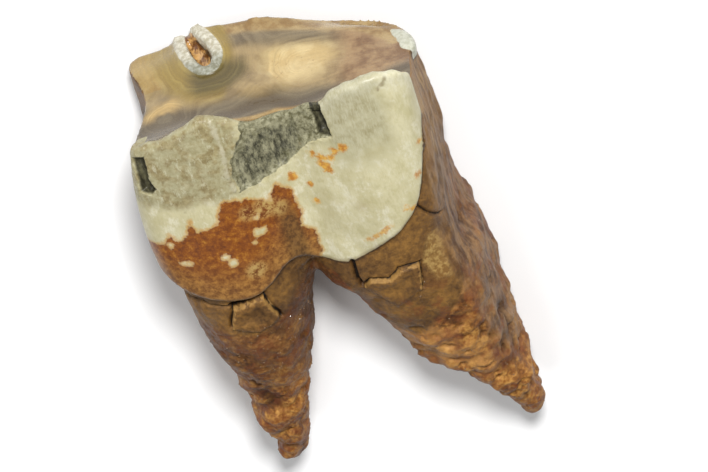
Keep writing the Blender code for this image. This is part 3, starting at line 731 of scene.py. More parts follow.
def enamel_depth(points):
    """Signed distance inside the enamel's visible area, in millimetres."""
    x, y, z = points.T
    xy = points[:, :2]
    depths = []
    for outline, core in ((ENAMEL_LOW, CORE_LOW), (ENAMEL_MIDDLE, CORE_MIDDLE), (ENAMEL_TOP, CORE_TOP)):
        closed = np.vstack((spline(outline, EDGE_POINTS), np.array(core)[CORE_BARE_START:]))
        depths.append(polygon_depth(xy, closed)[:, None])
    inward = at_height(depths, ENAMEL_HEIGHTS, z)[:, 0]
    over_gum = z - through(GUM_LINE, x)[:, 0]
    ends = np.where(x < 0, ENAMEL_ENDS[0], ENAMEL_ENDS[1]) - y
    wall = np.minimum.reduce((ENAMEL_THICK - ENAMEL_SEAM - inward, over_gum, ends * END_SLOPE))
    to_fold = path_distance(xy, spline(FOLD_PATH, EDGE_POINTS))
    fold = np.minimum(FOLD_WIDTH / 2 + ENAMEL_SEAM - to_fold, z - FOLD_FOOT)
    outline = spline(SCRAP_OUTLINE, SCRAP_POINTS, closed=True)
    ragged = fractal(points, *SCRAP_WAVES)
    foot = z - SCRAP_EDGE + SCRAP_RAGGED[0] * ragged
    scrap = np.minimum(polygon_depth(xy, outline) + SCRAP_MARGIN, foot) + SCRAP_RAGGED[1] * ragged
    return np.maximum.reduce((wall, fold, scrap))


def star_cracks():
    """Hair cracks of uneven length that run out from the middle of the chewing surface."""
    draw = np.random.default_rng(STAR_SEED)
    rays = []
    for centre in STAR_CENTRES:
        for k in range(STAR_RAYS):
            turn = 2 * math.pi * (k + draw.uniform(0, STAR_SPREAD)) / STAR_RAYS
            bends = np.cumsum(draw.normal(0, STAR_BEND, STAR_BENDS)) + turn
            steps = np.column_stack((np.cos(bends), np.sin(bends)))
            steps *= draw.uniform(*STAR_REACH) / STAR_BENDS
            start = np.array(centre) + draw.normal(0, STAR_BEND, 2)
            rays.append(start + np.cumsum(steps, axis=0))
    return rays


def cheek_share(points, normals, facing):
    """1 on skin of the cheek side, 0 elsewhere, and smooth between."""
    return ramp(-normals[:, 1], *facing) * ramp(-points[:, 1], *CHEEK_EDGE)


def deepest(face, outlines):
    """Signed depth inside whichever outline a point lies deepest in."""
    return np.maximum.reduce([polygon_depth(face, outline) for outline in outlines])


def cheek_areas(points, normals):
    """Areas of the finish that are drawn on the cheek side."""
    x, y, z = points.T
    face = points[:, [0, 2]]
    cheek = cheek_share(points, normals, CHEEK_LOOK)
    outer = y < CHEEK_SIDE
    ragged = fractal(points, *RAGGED)
    stain = np.minimum(polygon_depth(face, STAIN), -discs(face, PALE_ISLANDS))
    cracks = np.maximum.reduce([width - path_distance(face, path) for _, width, path in CRACKS])
    wobble = CRACK_WOBBLE * fractal(points, *WOBBLE)
    plates = deepest(face, [outline for _, outline in FLAKES])
    grains = GRAIN_LEAST + ramp(discs(face, GRAIN_SPOTS), *GRAIN_EDGE) * cheek
    return {
        "stain": np.where(cheek > STAIN_PART, stain, -OUTSIDE),
        "rust_spots": discs(face, RUST_SPOTS) - SPOT_DROP * (1 - cheek),
        "faint_rust": FAINT_REACH - path_distance(face, FAINT_RUST) - SPOT_DROP * (1 - cheek),
        "thin_rust": discs(face, THIN_RUST),
        "specks": discs(face, DARK_SPECKS) + WANDER["specks"] * ragged - OUTSIDE * ~outer,
        "smudge": np.hypot(x - SMUDGE[0], z - SMUDGE[1]) + FAR_OUTSIDE * ~outer,
        "chip": np.where(outer, polygon_depth(face, CHIP) + WANDER["chip"] * ragged, -OUTSIDE),
        "chip_dark": polygon_depth(face, CHIP_DARK) + WANDER["chip_dark"] * ragged,
        "notch": np.where(outer, deepest(face, NOTCHES) + WANDER["notch"] * ragged, -OUTSIDE),
        "ridge": path_distance(face, RIDGE_LINE) + WANDER["ridge"] * ragged + OUTSIDE * (1 - cheek),
        "crack": np.where(cheek > CHEEK_PART, cracks + wobble, -OUTSIDE),
        "lip": np.where((plates > 0) & (cheek > CHEEK_PART), LIP_WIDTH + cracks, -OUTSIDE),
        "skin": z - through(SKIN_FOOT, x)[:, 0] - SKIN_DROP * (1 - cheek),
        "tan": np.where(cheek > CHEEK_PART, polygon_depth(face, TAN_PATCH), -OUTSIDE),
        "granular": grains * (1 - ramp(z, *GRAIN_HEIGHTS)) * (1 - ramp(y, *GRAIN_SIDE)),
    }


def areas_of(points, normals):
    """Signed distances and shares that say which finish belongs where on the tooth."""
    x, y, z = points.T
    xy = points[:, :2]
    guide = spline(FOLD_PATH, GUIDE_POINTS)
    to_fold = path_distance(xy, guide)
    to_corner = path_distance(xy, RING_CORNER)
    ring_paths = (to_fold, path_distance(xy, RING_PATH), to_corner)
    nearest = sum(np.exp(-(path + start) / RING_BLEND) for path, start in zip(ring_paths, RING_STARTS))
    far_rim = spline(CORE_TOP, CORE_POINTS, closed=True)
    star = np.minimum.reduce([path_distance(xy, path) for path in star_cracks()])
    level = ramp(normals[:, 2], *WORN_FACING)
    return {
        **cheek_areas(points, normals),
        "enamel": enamel_depth(points),
        "worn": WORN_DEPTH - (wear_height(xy) - z) + WORN_TURN * (level - 1),
        "front_face": ramp(normals[:, 0], *FRONT_FACING) * ramp(x, *FRONT_START),
        "to_fold": to_fold,
        "in_fold": polygon_depth(xy, guide),
        "to_gold": path_distance(xy, GOLD_PATCH),
        "to_corner": to_corner,
        "rings": -RING_BLEND * np.log(nearest),
        "to_far_rim": path_distance(xy, far_rim) + FAR_OUTSIDE * (y < FAR_SIDE),
        "to_near_rim": polygon_depth(xy, NEAR_TROUGH),
        "star": np.where(z > STAR_HEIGHT, star, OUTSIDE),
        "over_gum": z - through(GUM_LINE, x)[:, 0],
        "to_rim": z - through(RIM_LINE, x)[:, 0],
        "height": z,
    }


def rising(heights, coarse):
    """The first height on smooth bone, and the second added to it on coarse bone."""
    return heights[0] + heights[1] * coarse


def root_relief(points, skin, enamel):
    """Lumps, knobs, pits and long streaks of the bare roots and walls."""
    x, y, z = points.T
    bare = 1 - ramp(z, *BARE_HEIGHTS)
    coarse = 1 - ramp(z, *COARSE_HEIGHTS)
    dull = 1 - ramp(enamel, *DULL_EDGE)
    smooth_skin = ramp(skin, *SKIN_EDGE)
    front_wall = ramp(x, *FRONT_WALL) * (1 - ramp(z, *WALL_TOP))
    back_wall = ramp(-x, *BACK_WALL) * (1 - ramp(z, *WALL_TOP))
    tongue_wall = ramp(y, *TONGUE_WALL) * (1 - ramp(z, *TONGUE_TOP))
    calm = 1 - FRONT_CALM * front_wall * ramp(z, *CALM_HEIGHTS)
    lumps = fractal(points, *LUMPS)
    streaks = fractal(points, *STREAKS)
    pits = ramp(fractal(points, *PITS), *PIT_LEVELS) * rising(PIT_SHARE, coarse)
    relief = bare * rising(LUMP_RISE, coarse) * lumps
    relief += bare * rising(KNOB_RISE, coarse) * calm * (knobs(points, *KNOBS) - KNOB_MIDDLE)
    walls = WALL_RISE[0] * streaks + WALL_RISE[1] * lumps
    walls *= dull * (front_wall + BACK_SHARE * back_wall)
    walls += tongue_wall * (TONGUE_RISE[0] * streaks + TONGUE_RISE[1] * lumps)
    relief += walls * ramp(wear_height(points[:, :2]) - z, *WEAR_MARGIN)
    relief -= PIT_DEPTH * bare * pits
    crust = CRUST_RISE * fractal(points, *CRUST)
    crust += SMALL_KNOB_RISE * (knobs(points, *SMALL_KNOBS) - SMALL_KNOB_MIDDLE)
    relief += bare * (1 - SKIN_CALM * smooth_skin) * rising(CRUST_SHARE, coarse) * calm * crust
    return relief + SKIN_STREAKS * bare * smooth_skin * streaks


def cheek_relief(points, normals, areas):
    """The chip, the notches, the flakes and the cracks, on the cheek side only."""
    face = points[:, [0, 2]]
    splinters = CHIP_DEPTH + SPLINTER_RISE * fractal(points, *SPLINTERS)
    relief = -ramp(areas["chip"], *CHIP_EDGE) * splinters
    relief -= NOTCH_DEPTH * ramp(areas["notch"], *NOTCH_EDGE)
    relief += RIDGE_RISE * (1 - ramp(areas["ridge"], *RIDGE_EDGE))
    broken = ramp(points[:, 2], *BROKEN_HEIGHTS) * ramp(-points[:, 0], *BROKEN_BACK)
    broken += ramp(areas["chip"], *BROKEN_CHIP)
    relief += BROKEN_RISE * np.minimum(broken, 1) * fractal(points, *BREAKAGE)
    for lift, outline in FLAKES:
        inside = polygon_depth(face, outline)
        relief += lift * ramp(inside, *FLAKE_EDGE) * (1 - ramp(inside, *FLAKE_FADE))
    for depth, width, path in CRACKS:
        reach = width - path_distance(face, path)
        relief -= depth * ramp(reach, CRACK_SLOPE[0], CRACK_SLOPE[1] * width)
    return relief * cheek_share(points, normals, CHEEK_FACING)


def mark_distance(points):
    """How far each point is from the nearest crack or broken edge on the cheek side."""
    face = points[:, [0, 2]]
    near = np.full(len(points), np.inf)
    for *_, path in CRACKS:
        near = np.minimum(near, path_distance(face, path))
    for outline in (CHIP, *NOTCHES):
        near = np.minimum(near, np.abs(polygon_depth(face, outline)))
    near[points[:, 1] > REFINE_SIDE] = np.inf
    return near


def refine_near_marks(mesh):
    """Splits the faces near cracks, notches and the chip's edge, so that those edges come out sharp."""
    bm = bmesh.new()
    bm.from_mesh(mesh)
    for reach in REFINE_REACHES:
        bm.verts.ensure_lookup_table()
        bm.verts.index_update()
        chosen = mark_distance(np.array([vert.co for vert in bm.verts])) < reach
        edges = [edge for edge in bm.edges if all(chosen[vert.index] for vert in edge.verts)]
        bmesh.ops.subdivide_edges(bm, edges=edges, cuts=1, use_grid_fill=True)
        bmesh.ops.triangulate(bm, faces=[f for f in bm.faces if len(f.verts) > 4])
    bm.to_mesh(mesh)
    bm.free()


def lay_down(mesh):
    """Turns the tooth onto its tongue side, in metres, and sets it where the solid lies."""
    upright_to_lying = Matrix(((1, 0, 0), (0, 0, 1), (0, -1, 0))).to_4x4()
    turn = Matrix.Rotation(LYING_TILT, 4, "X") @ upright_to_lying
    mesh.transform(Matrix.Scale(METRES, 4) @ turn)
    points = vectors_of(mesh.vertices, "co")
    solid_low, solid_high = (np.array(corner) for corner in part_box("tooth"))
    shift = (solid_low + solid_high - points.min(axis=0) - points.max(axis=0)) / 2
    shift[2] = solid_high[2] - points[:, 2].max()
    points += shift
    points[:, 2] = np.maximum(points[:, 2], 0)
    mesh.vertices.foreach_set("co", points.ravel())
    mesh.update()
    return Matrix.Translation(shift) @ Matrix.Scale(METRES, 4) @ turn


def store(mesh, name, values):
    layer = mesh.attributes.new(name, "FLOAT", "POINT")
    layer.data.foreach_set("value", np.asarray(values, np.float32))


def make_tooth():
    mesh = fused_mesh()
    refine_near_marks(mesh)
    points = vectors_of(mesh.vertices, "co")
    normals = vectors_of(mesh.vertex_normals, "vector")
    areas = areas_of(points, normals)
    relief = root_relief(points, areas["skin"], areas["enamel"])
    relief += cheek_relief(points, normals, areas)
    points += normals * relief[:, None]
    mesh.vertices.foreach_set("co", points.ravel())
    for name, values in areas.items():
        store(mesh, name, values)
    store(mesh, "relief", relief)
    layer = mesh.attributes.new("place", "FLOAT_VECTOR", "POINT")
    layer.data.foreach_set("vector", points.astype(np.float32).ravel())
    to_world = lay_down(mesh)
    mesh.name = "fossil_tooth"
    mesh.shade_smooth()
    return add_object("fossil_tooth", mesh), to_world


def linear(red, green, blue):
    """The shader's values for a colour as it looks, 0 to 255, under this studio's light."""
    shares = [value / 255 for value in (red, green, blue)]
    values = [s / 12.92 if s <= 0.04045 else ((s + 0.055) / 1.055) ** 2.4 for s in shares]
    return (*(value / STUDIO_LIGHT for value in values), 1.0)


class Wire:
    """A number or colour socket; numbers can be written into sums and products."""

    def __init__(self, tree, socket):
        self.tree = tree
        self.socket = socket

    def maths(self, operation, *values):
        return self.tree.node("ShaderNodeMath", {"operation": operation}, dict(enumerate(values)))

    def __add__(self, other):
        return self.maths("ADD", self, other)

    def __radd__(self, other):
        return self.maths("ADD", other, self)

    def __sub__(self, other):
        return self.maths("SUBTRACT", self, other)

    def __rsub__(self, other):
        return self.maths("SUBTRACT", other, self)

    def __mul__(self, other):
        return self.maths("MULTIPLY", self, other)

    def __rmul__(self, other):
        return self.maths("MULTIPLY", other, self)

    def most(self, other):
        return self.maths("MAXIMUM", self, other)

    def between(self, low, high):
        """0 below low, 1 above high, and smooth between."""
        settings = {"interpolation_type": "SMOOTHSTEP"}
        return self.tree.node("ShaderNodeMapRange", settings, {0: self, 1: low, 2: high})

    def fade(self, low, high):
        """1 below low, 0 above high, and smooth between."""
        return 1 - self.between(low, high)


class NodeTree:
    """A tree of nodes, each made by one method."""

    def __init__(self, tree):
        self.tree = tree

    def node(self, kind, settings, sockets, out=0):
        made = self.tree.nodes.new(kind)
        for key, value in settings.items():
            if key == "stops":
                set_stops(made.color_ramp, value)
            else:
                setattr(made, key, value)
        for key, value in sockets.items():
            if isinstance(value, Wire):
                self.tree.links.new(value.socket, made.inputs[key])
            else:
                made.inputs[key].default_value = value
        return Wire(self, made.outputs[out] if made.outputs else None)


class Finish(NodeTree):
    """A material with its nodes."""

    def __init__(self, name):
        self.material = bpy.data.materials.new(name)
        self.material.use_nodes = True
        super().__init__(self.material.node_tree)
        self.tree.nodes.clear()

    def area(self, name, out="Fac"):
        """A value kept on the mesh under this name."""
        return self.node("ShaderNodeAttribute", {"attribute_name": name}, {}, out=out)

    def across(self, axis="X"):
        """One coordinate in the upright tooth's own frame, in millimetres."""
        return self.node("ShaderNodeSeparateXYZ", {}, {0: self.place()}, out=axis)

    def place(self, stretch=EVEN, shift=0.0):
        """Millimetres in the upright tooth's own frame, stretched along its axes."""
        shares = tuple(1 / value for value in stretch)
        sockets = {0: self.area("place", out="Vector"), 1: shares, 2: (shift,) * 3}
        return self.node("ShaderNodeVectorMath", {"operation": "MULTIPLY_ADD"}, sockets)

    def clouds(self, size, detail=3.0, rough=0.55, stretch=EVEN, shift=0.0):
        """Cloudy noise from 0 to 1 with patches of the given size in millimetres."""
        sockets = {"Vector": self.place(stretch, shift), "Scale": 1 / size, "Detail": detail}
        sockets["Roughness"] = rough
        return self.node("ShaderNodeTexNoise", {}, sockets)

    def lines(self, along, size, detail=2.0, shift=0.0):
        """Bands of uneven width across a distance in millimetres."""
        sockets = {"W": along + shift, "Scale": 1 / size, "Detail": detail, "Roughness": 0.6}
        return self.node("ShaderNodeTexNoise", {"noise_dimensions": "1D"}, sockets)

    def cells(self, size):
        """Distance to the nearest of scattered points, 0 at each point."""
        sockets = {"Vector": self.place(), "Scale": 1 / size}
        return self.node("ShaderNodeTexVoronoi", {"feature": "F1"}, sockets)

    def mix(self, share, first, second):
        """From the first colour to the second, each a socket or a colour as it looks."""
        first, second = (c if isinstance(c, Wire) else linear(*c) for c in (first, second))
        settings = {"data_type": "RGBA", "clamp_factor": True}
        return self.node("ShaderNodeMix", settings, {0: share, 6: first, 7: second}, out=2)

    def lay(self, base, share, tones, pattern=None):
        """The base with a share of one tone over it, or of two tones that a pattern mixes."""
        return self.mix(share, base, self.mix(pattern, *tones) if pattern else tones)

    def colours(self, value, stops):
        return self.node("ShaderNodeValToRGB", {"stops": stops}, {"Fac": value})

    def bump(self, height, strength, distance):
        sockets = {"Height": height, "Strength": strength, "Distance": distance}
        return self.node("ShaderNodeBump", {}, sockets)

    def shader(self, sockets):
        return self.node("ShaderNodeBsdfPrincipled", {}, sockets)

    def surface(self, shader):
        self.node("ShaderNodeOutputMaterial", {}, {"Surface": shader})
        return self.material


def set_stops(ramp_data, stops):
    while len(ramp_data.elements) > 1:
        ramp_data.elements.remove(ramp_data.elements[-1])
    ramp_data.elements[0].position = stops[0][0]
    ramp_data.elements[0].color = linear(*stops[0][1])
    for position, colour in stops[1:]:
        ramp_data.elements.new(position).color = linear(*colour)


def dentine_colour(paint):
    """Polished dentine: gold, olive and mauve grey areas, lined with fine growth rings."""
    to_fold = paint.area("to_fold")
    to_gold = paint.area("to_gold")
    to_near = paint.area("to_near_rim")
    x, y = paint.across(), paint.across("Y")
    wander = (paint.clouds(7.0, detail=3.0) - 0.5) * 4
    cloud = paint.clouds(3.6, detail=4.0, rough=0.6, shift=4.0).between(0.38, 0.62)
    rings = paint.area("rings") + wander * 0.35 + (paint.clouds(2.6, detail=1.0, shift=31.0) - 0.5) * 0.9
    broad = paint.lines(rings, 2.2, shift=3.0).between(0.38, 0.62)
    fine = paint.lines(rings, 0.44, detail=1.0).between(0.3, 0.7)
    base = paint.mix(cloud, *DENTINE_TONES)
    base = paint.lay(base, (x + wander).between(8.0, 14.0), PINK_TONES, cloud)
    from_far = paint.area("to_far_rim") + wander * 0.4
    mauve = from_far.between(2.6, 4.0) * from_far.fade(5.2, 7.6) * x.fade(7.0, 14.0)
    mauve *= (x + wander * 1.2).between(-9.0, -3.0)
    base = paint.lay(base, mauve * 0.9, MAUVE_TONES, broad)
    base = paint.lay(base, from_far.fade(2.4, 3.6) * 0.9, FAR_RIM_TONES, cloud)
    pool = (to_gold + wander * 1.2 + (fine - 0.5) * 0.6).fade(1.6, 4.8)
    base = paint.lay(base, pool * 0.95, GOLD_TONES, cloud * 0.6)
    from_near = to_near + wander * 0.5 - 1.8 * x.fade(-9.0, 0.0)
    base = paint.lay(base, from_near.fade(3.6, 6.2) * 0.95, TROUGH_TONES, broad)
    strip = (to_near + wander * 0.3).fade(0.9, 1.8) * x.between(-11.0, -8.0)
    base = paint.lay(base, strip * 0.85, STRIP_TONES, cloud)
    olive = (to_fold + wander * 0.7 + 3.4 * x.between(-8.5, -5.0)).fade(4.2, 7.4)
    base = paint.lay(base, olive * 0.95, OLIVE_TONES, broad)
    crescent = (to_fold + wander * 0.4).fade(3.6, 5.8) * y.fade(2.0, 5.0) * x.between(-15.0, -11.0)
    base = paint.lay(base, crescent * 0.92, CRESCENT_TONES, broad)
    from_corner = paint.area("to_corner") + wander * 0.55 + (paint.clouds(2.4, shift=53.0) - 0.5) * 2.4
    corner = from_corner.between(0.7, 2.0) * from_corner.fade(2.4, 4.6)
    corner *= (x - y * 0.6 + wander * 0.5).fade(-15.5, -12.0) * y.between(-5.4, -2.8)
    base = paint.lay(base, corner * 0.85, CORNER_TONES, broad * 0.6)
    back = (x + wander).fade(-20.0, -15.0) * y.between(-1.0, 4.0)
    base = paint.lay(base, back * 0.5, BACK_EDGE_TONE)
    streaks = paint.clouds(0.8, detail=4.0, stretch=(1.0, 3.0, 1.0), shift=37.0).between(0.4, 0.62)
    base = paint.lay(base, paint.area("in_fold").between(0.5, 1.2), PIT_TONES, streaks)
    base = paint.lay(base, paint.area("star").fade(0.02, 0.14) * 0.4, STAR_TONE)
    ringed = pool.most(corner).most(crescent) * x.fade(1.0, 6.0) * to_gold.between(0.6, 2.2)
    lines = (fine - 0.5) * (0.1 + 0.18 * ringed)
    return paint.node("ShaderNodeHueSaturation", {}, {"Value": 1 + lines, "Color": base}), fine


def chipped_over(paint, base, speck):
    """The flaked patch and the notches, dark and streaky along the enamel's grain."""
    crumbs = paint.clouds(1.8, detail=5.0, rough=0.75, shift=59.0)
    fibres = paint.clouds(0.9, detail=5.0, rough=0.7, stretch=(0.8, 1.0, 2.4), shift=8.0)
    fibres = fibres * 0.6 + crumbs * 0.4
    base = paint.lay(base, paint.area("chip").between(0.0, 0.15), CHIP_TONES, speck.between(0.36, 0.64))
    dark = (paint.area("chip_dark") + (crumbs - 0.5) * 9 - 0.4).between(-0.8, 0.8)
    base = paint.lay(base, dark * 0.9, DARK_CHIP_TONES, fibres.between(0.4, 0.62))
    return paint.lay(base, paint.area("notch").between(0.0, 0.2), NOTCH_TONES, fibres.between(0.4, 0.65))


def enamel_colour(paint):
    """Cream enamel, greyer and specked on the worn back lobe and on the standing fold."""
    height, x, y = paint.area("height"), paint.across(), paint.across("Y")
    cloud = paint.clouds(6.0, detail=4.0, shift=2.0)
    speck = paint.clouds(0.8, detail=5.0, rough=0.7)
    mottle = paint.clouds(2.4, detail=4.0, rough=0.6, shift=19.0)
    milky = paint.clouds(2.6, detail=6.0, rough=0.7, stretch=(1.0, 1.0, 1.3), shift=41.0)
    grain = paint.clouds(0.4, detail=3.0, rough=0.6, stretch=(0.7, 1.0, 3.0), shift=43.0)
    fleck = paint.clouds(1.1, detail=5.0, rough=0.75, stretch=(0.7, 1.0, 1.8), shift=47.0)
    wander = (cloud - 0.5) * 9
    base = paint.mix(cloud.between(0.36, 0.66), *CREAM_TONES)
    base = paint.lay(base, milky.between(0.5, 0.66) * 0.75, MILK_TONE)
    base = paint.lay(base, milky.fade(0.36, 0.48) * 0.4, STRAW_TONE)
    base = paint.lay(base, grain.between(0.46, 0.66) * 0.2, GRAIN_TONE)
    base = paint.lay(base, speck.between(0.56, 0.76) * 0.3, SPECK_TONE)
    smudge = (paint.area("smudge") + (speck - 0.5) * 2).fade(0.2, 2.0)
    base = paint.lay(base, smudge * 0.3, SMUDGE_TONE)
    upper = (height + wander).between(15.5, 19.0) * (x + wander * 0.4).fade(-8.0, -4.0)
    olive = paint.mix(speck.between(0.3, 0.7), *BACK_LOBE_TONES)
    olive = paint.lay(olive, mottle.between(0.46, 0.6) * 0.9, MOTTLE_TONES, speck.between(0.3, 0.7))
    olive = paint.lay(olive, fleck.between(0.54, 0.66) * 0.7, FLECK_TONE)
    base = paint.mix(upper * 0.92, base, olive)
    # The front lobe's upper half made greyer: partly olive grey tone, partly painted shade on the upper
    # surface.
    front = (height + wander * 0.7).between(14.0, 23.0) * x.between(6.0, 9.5)
    front *= (x + wander * 0.4).fade(16.0, 20.0)
    grey = paint.mix(mottle.between(0.25, 0.75), *GREY_AND_SHADE_TONES)
    grey = paint.lay(grey, grain.between(0.46, 0.6) * 0.35, PALE_GRAIN_TONE)
    base = paint.mix(front * 0.85, base, grey)
    rim = (paint.area("to_rim") + (speck - 0.5) * 3).between(-2.4, -0.4) * x.between(6.0, 8.0)
    base = paint.lay(base, rim * 0.35, RIM_TONES, fleck.between(0.4, 0.6))
    ridge = (paint.area("ridge") + (speck - 0.5)).fade(0.1, 0.6)
    base = paint.lay(base, ridge * mottle.between(0.3, 0.5) * 0.6, RIDGE_TONE)
    base = chipped_over(paint, base, speck)
    base = paint.lay(base, paint.area("specks").between(-0.1, 0.35) * 0.6, DARK_SPECK_TONE)
    fold = paint.area("to_fold").fade(1.6, 2.2) * height.between(22.0, 24.0)
    bend, arms = (paint.mix(speck.between(0.36, 0.62), *tones) for tones in (BEND_TONES, ARM_TONES))
    base = paint.mix(fold * 0.95, base, paint.mix(y.between(3.0, 6.5), bend, arms))
    scrap = x.between(19.6, 20.0) * y.between(-1.0, 0.0)
    return paint.lay(base, scrap * 0.8, SCRAP_TONES, speck.between(0.4, 0.6)), speck


def rust_over(paint, base):
    """Rust stain with a crisp ragged edge over the back lobe's lower half, with painted shade in the
    groove between the lobes and along the gum line.
    """
    x, over_gum = paint.across(), paint.area("over_gum")
    ragged = (paint.clouds(1.5, detail=5.0, rough=0.7, shift=1.0) - 0.5) * 2.0
    patch = paint.clouds(1.2, detail=6.0, rough=0.8, shift=9.0)
    blotch = paint.clouds(4.0, detail=3.0, shift=23.0).between(0.4, 0.6)
    rust = paint.colours(patch, RUST_STOPS)
    rust = paint.lay(rust, blotch * 0.3, BLOTCH_TONE)
    rust = paint.lay(rust, over_gum.fade(0.5, 10.0) * 0.75, LOW_RUST_TONES, patch.between(0.38, 0.62))
    # Rust darkened in the groove between the lobes: partly its own darker strip, partly painted shade.
    groove_shade = x.between(-5.6, -3.4) * x.fade(-2.2, -0.6) * paint.area("height").fade(8.0, 13.0)
    rust = paint.lay(rust, groove_shade * 0.8, GROOVE_SHADE_TONES, patch.between(0.4, 0.6))
    thin = paint.area("thin_rust").between(-1.0, 0.9) * patch.between(0.42, 0.56)
    rust = paint.lay(rust, thin * 0.85, THIN_RUST_TONE)
    reach = paint.area("stain") + ragged
    stain = reach.between(-0.12, 0.22)
    base = paint.lay(base, (reach.between(-0.7, 0.1) - stain).most(0) * 0.8, STAIN_EDGE_TONE)
    base = paint.mix(stain * 0.97, base, rust)
    golden = paint.mix(patch.between(0.4, 0.6), *GOLDEN_SPOT_TONES)
    spots = paint.area("rust_spots") + ragged * 1.5
    base = paint.mix(spots.between(-0.5, 0.2) * 0.9, base, golden)
    faint = paint.area("faint_rust") + ragged * 1.6
    base = paint.mix(faint.between(0.35, 0.9) * 0.7, base, golden)
    # Painted shade: a dark brown band along the enamel's lower edge at the gum line.
    return paint.lay(base, (over_gum + ragged * 0.3).fade(0.1, 0.9) * 0.45, GUM_LINE_SHADE_TONE)


def root_colour(paint):
    """Root bone: brown skin, tan knobs with a painted highlight on their tops, dark pits, purple brown
    on the front face, and a painted shadow under the enamel's edge.
    """
    relief, height, x = paint.area("relief"), paint.area("height"), paint.across()
    cloud = paint.clouds(6.0, detail=4.0, rough=0.6, shift=3.0)
    fine = paint.clouds(0.9, detail=6.0, rough=0.75, shift=5.0)
    wander = x + (cloud - 0.5) * 8
    base = paint.colours(cloud * 0.45 + fine * 0.55, BONE_STOPS)
    red = paint.clouds(3.0, detail=4.0, shift=12.0).between(0.5, 0.6)
    base = paint.lay(base, red * 0.6, RED_TONE)
    amber = paint.clouds(2.4, detail=4.0, shift=16.0).between(0.42, 0.58) * height.fade(-27.0, -14.0)
    base = paint.lay(base, amber * 0.6, AMBER_TONES, fine.between(0.4, 0.6))
    dusk = paint.clouds(3.4, detail=3.0, shift=27.0).between(0.5, 0.62) * height.between(-26.0, -16.0)
    base = paint.lay(base, dusk * 0.5, DUSK_TONE)
    deep = wander.fade(-4.0, 3.0) * height.between(-30.0, -23.0)
    base = paint.lay(base, deep * 0.45, DEEP_TONE)
    light = wander.between(2.0, 7.0) * height.fade(-16.0, -10.0) * height.between(-40.0, -34.0)
    base = paint.lay(base, light * cloud.between(0.36, 0.54) * 0.5, LIGHT_TONE)
    skin = (paint.area("skin") + (cloud - 0.5) * 3).between(-0.6, 0.8)
    base = paint.mix(skin, base, paint.colours(cloud * 0.5 + fine * 0.5, SKIN_STOPS))
    tan = (paint.area("tan") + (cloud - 0.5) * 2).between(-0.3, 0.6)
    base = paint.lay(base, tan * 0.8, TAN_TONES, fine.between(0.42, 0.6))
    streak = paint.clouds(1.3, detail=5.0, rough=0.7, stretch=(1.0, 1.0, 3.5), shift=7.0)
    patch = paint.clouds(4.2, detail=4.0, rough=0.6, stretch=(1.0, 1.0, 1.8), shift=29.0)
    patch = patch.between(0.4, 0.6)
    face = paint.area("front_face")
    purple = face * height.fade(6.0, 16.0) * height.between(-42.0, -30.0)
    base = paint.lay(base, purple * (0.5 + patch * 0.4), PURPLE_TONES, streak.between(0.4, 0.6))
    front = paint.mix(streak.between(0.38, 0.62), *FRONT_TONES)
    front = paint.lay(front, patch * 0.6, FRONT_PATCH_TONE)
    base = paint.mix(face * height.between(2.0, 14.0) * 0.85, base, front)
    # Painted highlight: tan laid on where the relief stands highest.
    base = paint.lay(base, relief.between(0.25, 0.9) * fine.between(0.38, 0.56) * 0.35, KNOB_HIGHLIGHT_TONE)
    lip = (paint.area("lip") + (fine - 0.5) * 1.6).between(0.0, 0.4)
    base = paint.lay(base, lip * 0.6, LIP_TONE)
    base = paint.lay(base, relief.fade(-1.1, -0.1) * 0.7, HOLLOW_TONE)
    russet = paint.clouds(4.4, detail=4.0, rough=0.6, shift=61.0).between(0.52, 0.62)
    base = paint.lay(base, russet * height.fade(-16.0, -8.0) * 0.45, RUSSET_TONE)
    # Painted shadow: a thin dark line on the root just under the enamel's overhanging edge.
    under = (fine - 0.5 - paint.area("enamel")).fade(0.1, 0.7)
    base = paint.lay(base, under * 0.75, ENAMEL_EDGE_SHADOW_TONE)
    return paint.lay(base, paint.area("crack").between(0.0, 0.2), CRACK_TONE), fine


def tooth_finish():
    paint = Finish("fossil_tooth")
    dentine, growth = dentine_colour(paint)
    root, root_grain = root_colour(paint)
    enamel, speck = enamel_colour(paint)
    edge = (paint.clouds(1.2, shift=13.0) - 0.5) * 0.25
    worn = (paint.area("worn") + edge).between(-0.1, 0.15)
    bubbles = paint.cells(0.9).between(0.15, 0.7) * (1 - paint.area("skin").between(-1.0, 1.0) * 0.9)
    coarse = (root_grain + bubbles * 0.25) * (1 - worn)
    bone = paint.shader({
        "Base Color": paint.mix(worn, root, dentine),
        "Roughness": 0.5 - worn * 0.24 + (root_grain - 0.5) * 0.4,
        "Coat Weight": worn * 0.35,
        "Coat Roughness": 0.12,
        "Specular IOR Level": 0.3,
        "Normal": paint.bump(coarse + growth * worn * 0.04, 0.6, 0.0005),
    })
    chip = paint.area("chip").between(0.0, 0.3)
    glossy = paint.shader({
        "Base Color": rust_over(paint, enamel),
        "Roughness": 0.34 + speck * 0.16 + chip * 0.2,
        "Coat Weight": 0.05,
        "Coat Roughness": 0.2,
        "Specular IOR Level": 0.3,
        "Subsurface Weight": 0.08,
        "Subsurface Radius": (1.0, 0.8, 0.6),
        "Subsurface Scale": 0.0008,
        "Normal": paint.bump(speck * (0.25 + chip), 0.4, 0.0003),
    })
    share = (paint.area("enamel") + edge).between(-0.06, 0.1)
    return paint.surface(paint.node("ShaderNodeMixShader", {}, {0: share, 1: bone, 2: glossy}))


